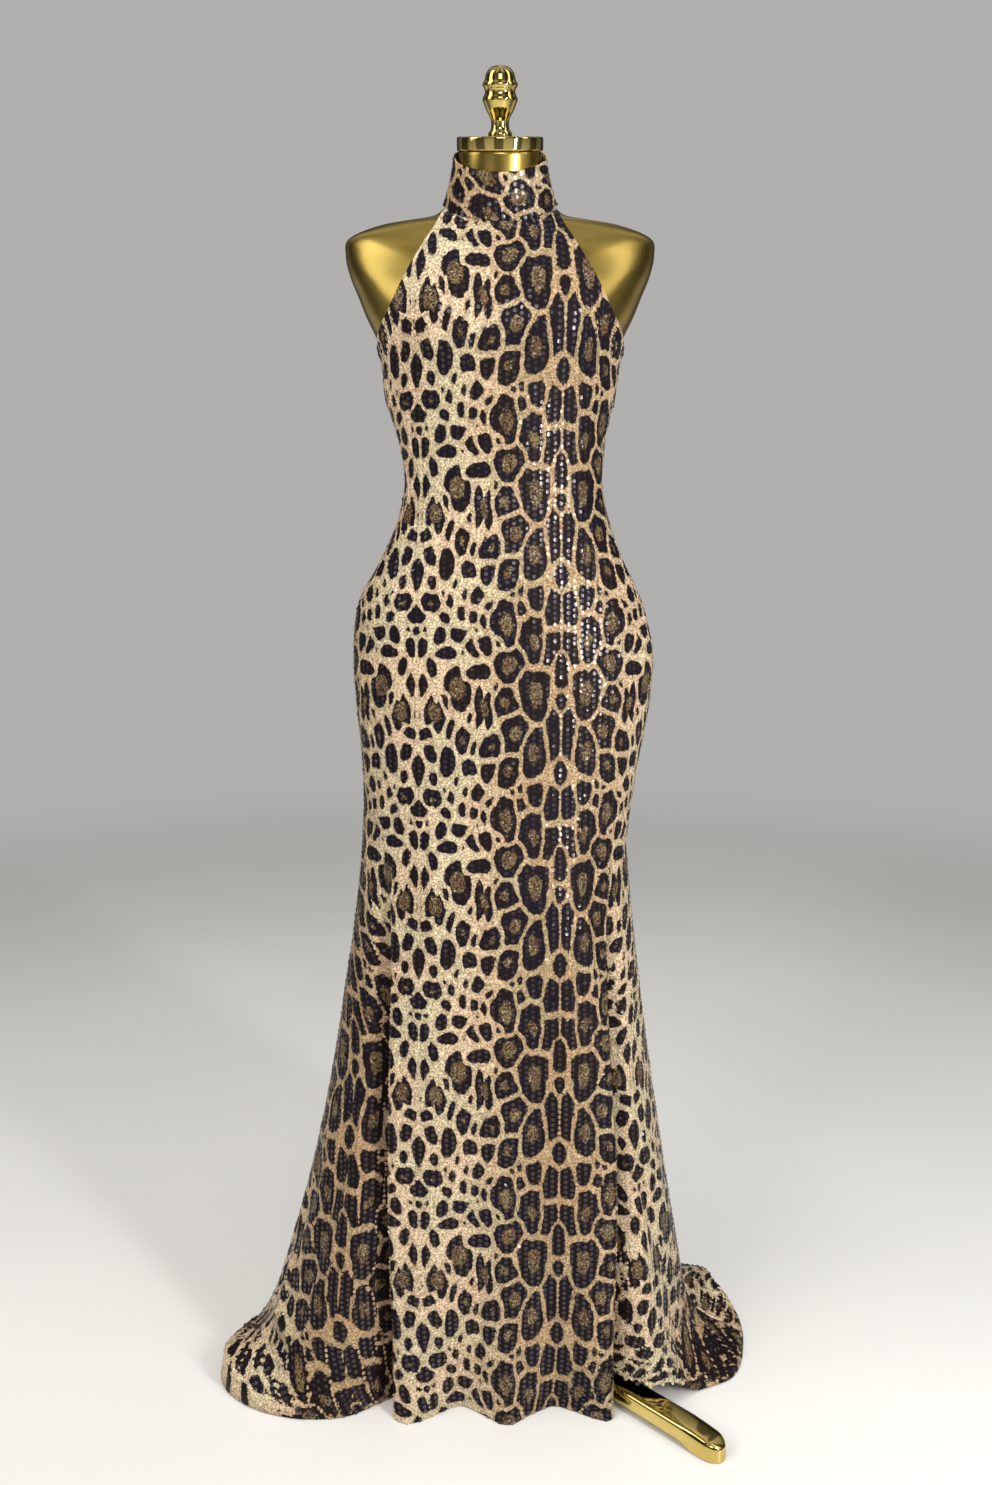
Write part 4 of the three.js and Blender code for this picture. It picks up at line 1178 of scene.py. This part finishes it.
LEGS = {"front_right": 47.2, "left": -72.8, "back": 167.2}


def torso_rings(columns):
    degrees = np.arange(columns) * 360 / columns
    levels = np.concatenate([
        [742, 742.6, 744.2, 747], np.linspace(751, 1378, 84), np.linspace(1383, 1536, 42),
        np.linspace(1538, 1566, 22), np.linspace(1569, 1595, 9),
    ])
    inset = {0: 3.2, 1: 1.6, 2: 0.4}
    rings = []
    for i, z in enumerate(levels):
        lean, tilt = curve(FORM, "z", "lean", z), curve(FORM, "z", "tilt", z)
        ring = polar(degrees, body_radius(degrees, np.full(columns, z), 0) - inset.get(i, 0), z, lean)
        ring[:, 2] += (ring[:, 1] - lean) * np.tan(np.radians(tilt))
        rings.append(ring)
    for back, less in ((3, 0), (1, 0.3), (0, 1.2)):
        flat = polar(degrees, 51.5 - less, 0.0)
        forward = flat[:, 1].copy()
        flat[:, 1] = NECK_TOP[1] + forward * np.cos(NECK_TILT) + back * np.sin(NECK_TILT)
        flat[:, 2] = NECK_TOP[2] + forward * np.sin(NECK_TILT) - back * np.cos(NECK_TILT)
        rings.append(flat)
    return np.array(rings)


def on_neck(points, up):
    """Moves points from the floor's frame to the neck's tilted top, `up` along its axis."""
    s, c = np.sin(NECK_TILT), np.cos(NECK_TILT)
    x, y, z = points[..., 0], points[..., 1], points[..., 2] + up
    return np.stack([x, NECK_TOP[1] + y * c - z * s, NECK_TOP[2] + y * s + z * c], -1)


def leg_rings():
    outs = np.concatenate([
        np.linspace(34.3, 328, 34), [332, 335, 338, 341, 344, 347, 352, 358, LEG_NOSE],
        LEG_NOSE + (LEG_LENGTH - LEG_NOSE) * np.sin(np.linspace(0.12, 1.35, 12)),
    ])
    across = np.array((0, 0.25, 0.38, 0.455, 0.49, 0.5, 0.5, 0.5, 0.495, 0.47, 0.42, 0.34, 0.2, 0))
    up = np.array((0, 0, 0, 0.012, 0.05, 0.12, 0.4, 0.66, 0.76, 0.86, 0.93, 0.975, 0.997, 1))
    across = np.concatenate([across, -across[-2:0:-1]])
    up = np.concatenate([up, up[-2:0:-1]])
    rings = []
    for out in outs:
        width, under, top = (float(curve(LEG, "out", n, out)) for n in ("width", "under", "top"))
        if out > LEG_NOSE:
            share = (out - LEG_NOSE) / (LEG_LENGTH - LEG_NOSE)
            width, under, top = 35 * np.sqrt(1 - share**2), 0.0, 27 - 8 * share**2
        rings.append(np.stack([across * width, np.full(len(up), -out), mix(max(under, 0.0), top, up)], -1))
    return np.array(rings)


def turned_about_z(points, degrees):
    s, c = np.sin(np.radians(degrees)), np.cos(np.radians(degrees))
    x, y = points[..., 0], points[..., 1]
    return np.stack([x * c - y * s, x * s + y * c, points[..., 2]], -1)


class GOWN_OT_torso(bpy.types.Operator):
    """Builds the smooth body of the dress form up to the flat top of its neck."""

    bl_idname = "gown.torso"
    bl_label = "Form body"

    def execute(self, context):
        closed_rings(
            "form_body", torso_rings(144), material_named("satin gold", satin_gold), "satin_gold",
            "form_torso")
        return {"FINISHED"}


class GOWN_OT_cap(bpy.types.Operator):
    """Builds the neck cap and the turned knob on it."""

    bl_idname = "gown.cap"
    bl_label = "Cap and knob"

    def execute(self, context):
        shine = material_named("bright gold", bright_gold)
        cap = np.stack([CAP["radius"], CAP["height"]], 1)
        knob = np.stack([KNOB["radius"], KNOB["height"]], 1)
        closed_rings("cap", on_neck(turned_grid(cap, 128), GAP), shine, "bright_gold", "neck_cap")
        closed_rings(
            "knob", on_neck(turned_grid(knob, 72), 2 * GAP + CAP_HEIGHT), shine, "bright_gold", "finial")
        return {"FINISHED"}


class GOWN_OT_stand(bpy.types.Operator):
    """Builds the pole, the hub and the three arched legs."""

    bl_idname = "gown.stand"
    bl_label = "Stand"

    def execute(self, context):
        shine = material_named("bright gold", bright_gold)
        hub = np.stack([HUB["radius"], HUB["height"]], 1)
        pole = np.stack([POLE["radius"], POLE["height"]], 1) + (0, HUB_HEIGHT + GAP)
        closed_rings("hub", turned_grid(hub, 64), shine, "bright_gold", "base_hub")
        closed_rings("pole_tube", turned_grid(pole, 48), shine, "bright_gold", "pole")
        for name, degrees in LEGS.items():
            rings = turned_about_z(leg_rings(), degrees)
            closed_rings("foot_" + name, rings, shine, "bright_gold", "leg_" + name)
        return {"FINISHED"}


# ------------------------------------------------------------------ the studio
def lamp(name, place, aim, size, power, colour=(1, 1, 1), size_y=None):
    data = bpy.data.lights.new(name, "AREA")
    data.shape = "RECTANGLE"
    data.size, data.size_y = size, size_y or size
    data.energy = power * bpy.context.scene.gown_studio.light / 100
    data.color = colour
    made = bpy.data.objects.new(name, data)
    made.location = place
    made.rotation_euler = (Vector(aim) - Vector(place)).to_track_quat("-Z", "Y").to_euler()
    bpy.context.scene.collection.objects.link(made)
    return made


def floor_material(name):
    material, tree, shader = new_material(name, Specular_IOR_Level=0.4)
    place = object_place(tree)
    mottle = noise_at(tree, place, 1.6, 1.0)
    tone = blend(tree, step_up(tree, mottle, 0.2, 0.8), (0.72, 0.71, 0.68, 1), (0.75, 0.74, 0.71, 1))
    tree.links.new(tone, shader.inputs["Base Color"])
    tree.links.new(math(tree, "MULTIPLY_ADD", mottle, 0.04, 0.3), shader.inputs["Roughness"])
    away = add(tree, "ShaderNodeVectorMath", (0, place), operation="LENGTH").outputs["Value"]
    tree.links.new(math(tree, "SUBTRACT", 1, step_up(tree, away, 1.6, 4.2)), shader.inputs["Alpha"])
    return material


def studio_world():
    """A pale backdrop for the camera, and a dim room with darker and paler bays for reflections."""
    world = bpy.data.worlds.new("studio")
    world.use_nodes = True
    tree = world.node_tree
    tree.nodes.clear()
    way = add(tree, "ShaderNodeSeparateXYZ", (0, add(tree, "ShaderNodeTexCoord").outputs["Generated"]))
    ramp = add(tree, "ShaderNodeValToRGB", (0, math(tree, "MULTIPLY_ADD", way.outputs[2], 0.5, 0.5)))
    stops = ((0.0, 0.36), (0.34, 0.42), (0.48, 0.24), (0.56, 0.09), (0.76, 0.08), (0.9, 0.40), (1.0, 0.60))
    while len(ramp.color_ramp.elements) < len(stops):
        ramp.color_ramp.elements.new(0.5)
    for element, (place, level) in zip(ramp.color_ramp.elements, stops):
        element.position = place
        element.color = (level, level * 0.985, level * 0.96, 1)
    round_ = math(tree, "ARCTAN2", way.outputs[0], way.outputs[1])
    bays = step_up(tree, math(tree, "SINE", math(tree, "MULTIPLY_ADD", round_, 7.0, 1.1)), -0.25, 0.25)
    panels = blend(tree, bays, (0.35, 0.35, 0.35, 1), (1.5, 1.5, 1.5, 1))
    room = blend(tree, 1.0, ramp.outputs[0], panels, "MULTIPLY")
    seen = add(tree, "ShaderNodeLightPath").outputs["Is Camera Ray"]
    colour = blend(tree, seen, room, (0.44, 0.43, 0.42, 1))
    back = add(tree, "ShaderNodeBackground", (0, colour), (1, 1.0))
    tree.links.new(back.outputs[0], add(tree, "ShaderNodeOutputWorld").inputs[0])
    bpy.context.scene.world = world


class GOWN_OT_studio(bpy.types.Operator):
    """Sets up the pale floor, the soft lamps and the camera."""

    bl_idname = "gown.studio"
    bl_label = "Studio"

    def execute(self, context):
        studio = context.scene.gown_studio
        side = 6000
        floor = mesh_object(
            "floor", [(-side, -side, 0), (side, -side, 0), (side, side, 0), (-side, side, 0)],
            [(0, 1, 2, 3)], smooth=False)
        floor.data.materials.append(material_named("pale floor", floor_material))
        studio_world()
        lamp("key", (-1.7, -1.9, 2.2), (0, 0, 1.3), 1.4, 45, (1, 0.975, 0.94), 1.6).visible_glossy = False
        lamp("fill", (1.8, -1.35, 2.1), (0, 0, 1.3), 0.6, 8, (1, 0.98, 0.96), 1.3).visible_glossy = False
        lamp("left_panel", (-1.9, -0.63, 2.69), (-0.15, -0.05, 1.48), 0.9, 15, size_y=2.3)
        lamp("right_panel", (1.78, -0.72, 2.8), (0.15, -0.05, 1.48), 0.55, 7, size_y=2.1)
        lamp("front", (0.1, -3.2, 2.6), (0, 0, 1.1), 1.2, 22)
        lamp("ceiling", (0, 0.1, 3.4), (0, 0, 0.9), 3.2, 46).visible_glossy = False
        lamp("glint", (1.336, -1.525, 1.3), (0.09, -0.09, 1.1), 0.1, 34, size_y=1.1)
        data = bpy.data.cameras.new("camera")
        data.sensor_width = 36
        data.lens = 29.36
        camera = bpy.data.objects.new("camera", data)
        camera.location = (-0.005, -studio.distance, studio.height)
        camera.rotation_euler = (np.pi / 2 - studio.pitch, 0, 0)
        context.scene.collection.objects.link(camera)
        context.scene.camera = camera
        context.scene.view_settings.view_transform = "Standard"
        return {"FINISHED"}


# ------------------------------------------------------------------ add-on
BUILDERS = (
    GOWN_OT_torso, GOWN_OT_cap, GOWN_OT_stand, GOWN_OT_front, GOWN_OT_backs, GOWN_OT_collar,
    GOWN_OT_zip, GOWN_OT_studio,
)


class GOWN_PT_panel(bpy.types.Panel):
    """Sizes, colours and one button for each group of pieces."""

    bl_idname = "GOWN_PT_panel"
    bl_label = "Evening gown"
    bl_space_type = "VIEW_3D"
    bl_region_type = "UI"
    bl_category = "Gown"

    def draw(self, context):
        for name, kind in SETTINGS.items():
            box = self.layout.box()
            for setting in kind.__annotations__:
                box.prop(getattr(context.scene, name), setting)
        for builder in BUILDERS:
            self.layout.operator(builder.bl_idname)


CLASSES = (*SETTINGS.values(), *BUILDERS, GOWN_PT_panel)


def register():
    for kind in CLASSES:
        bpy.utils.register_class(kind)
    for name, kind in SETTINGS.items():
        setattr(bpy.types.Scene, name, PointerProperty(type=kind))


def unregister():
    for name in SETTINGS:
        delattr(bpy.types.Scene, name)
    for kind in reversed(CLASSES):
        bpy.utils.unregister_class(kind)


def main():
    register()
    for builder in BUILDERS:
        area, action = builder.bl_idname.split(".")
        getattr(getattr(bpy.ops, area), action)()


if __name__ == "__main__":
    main()
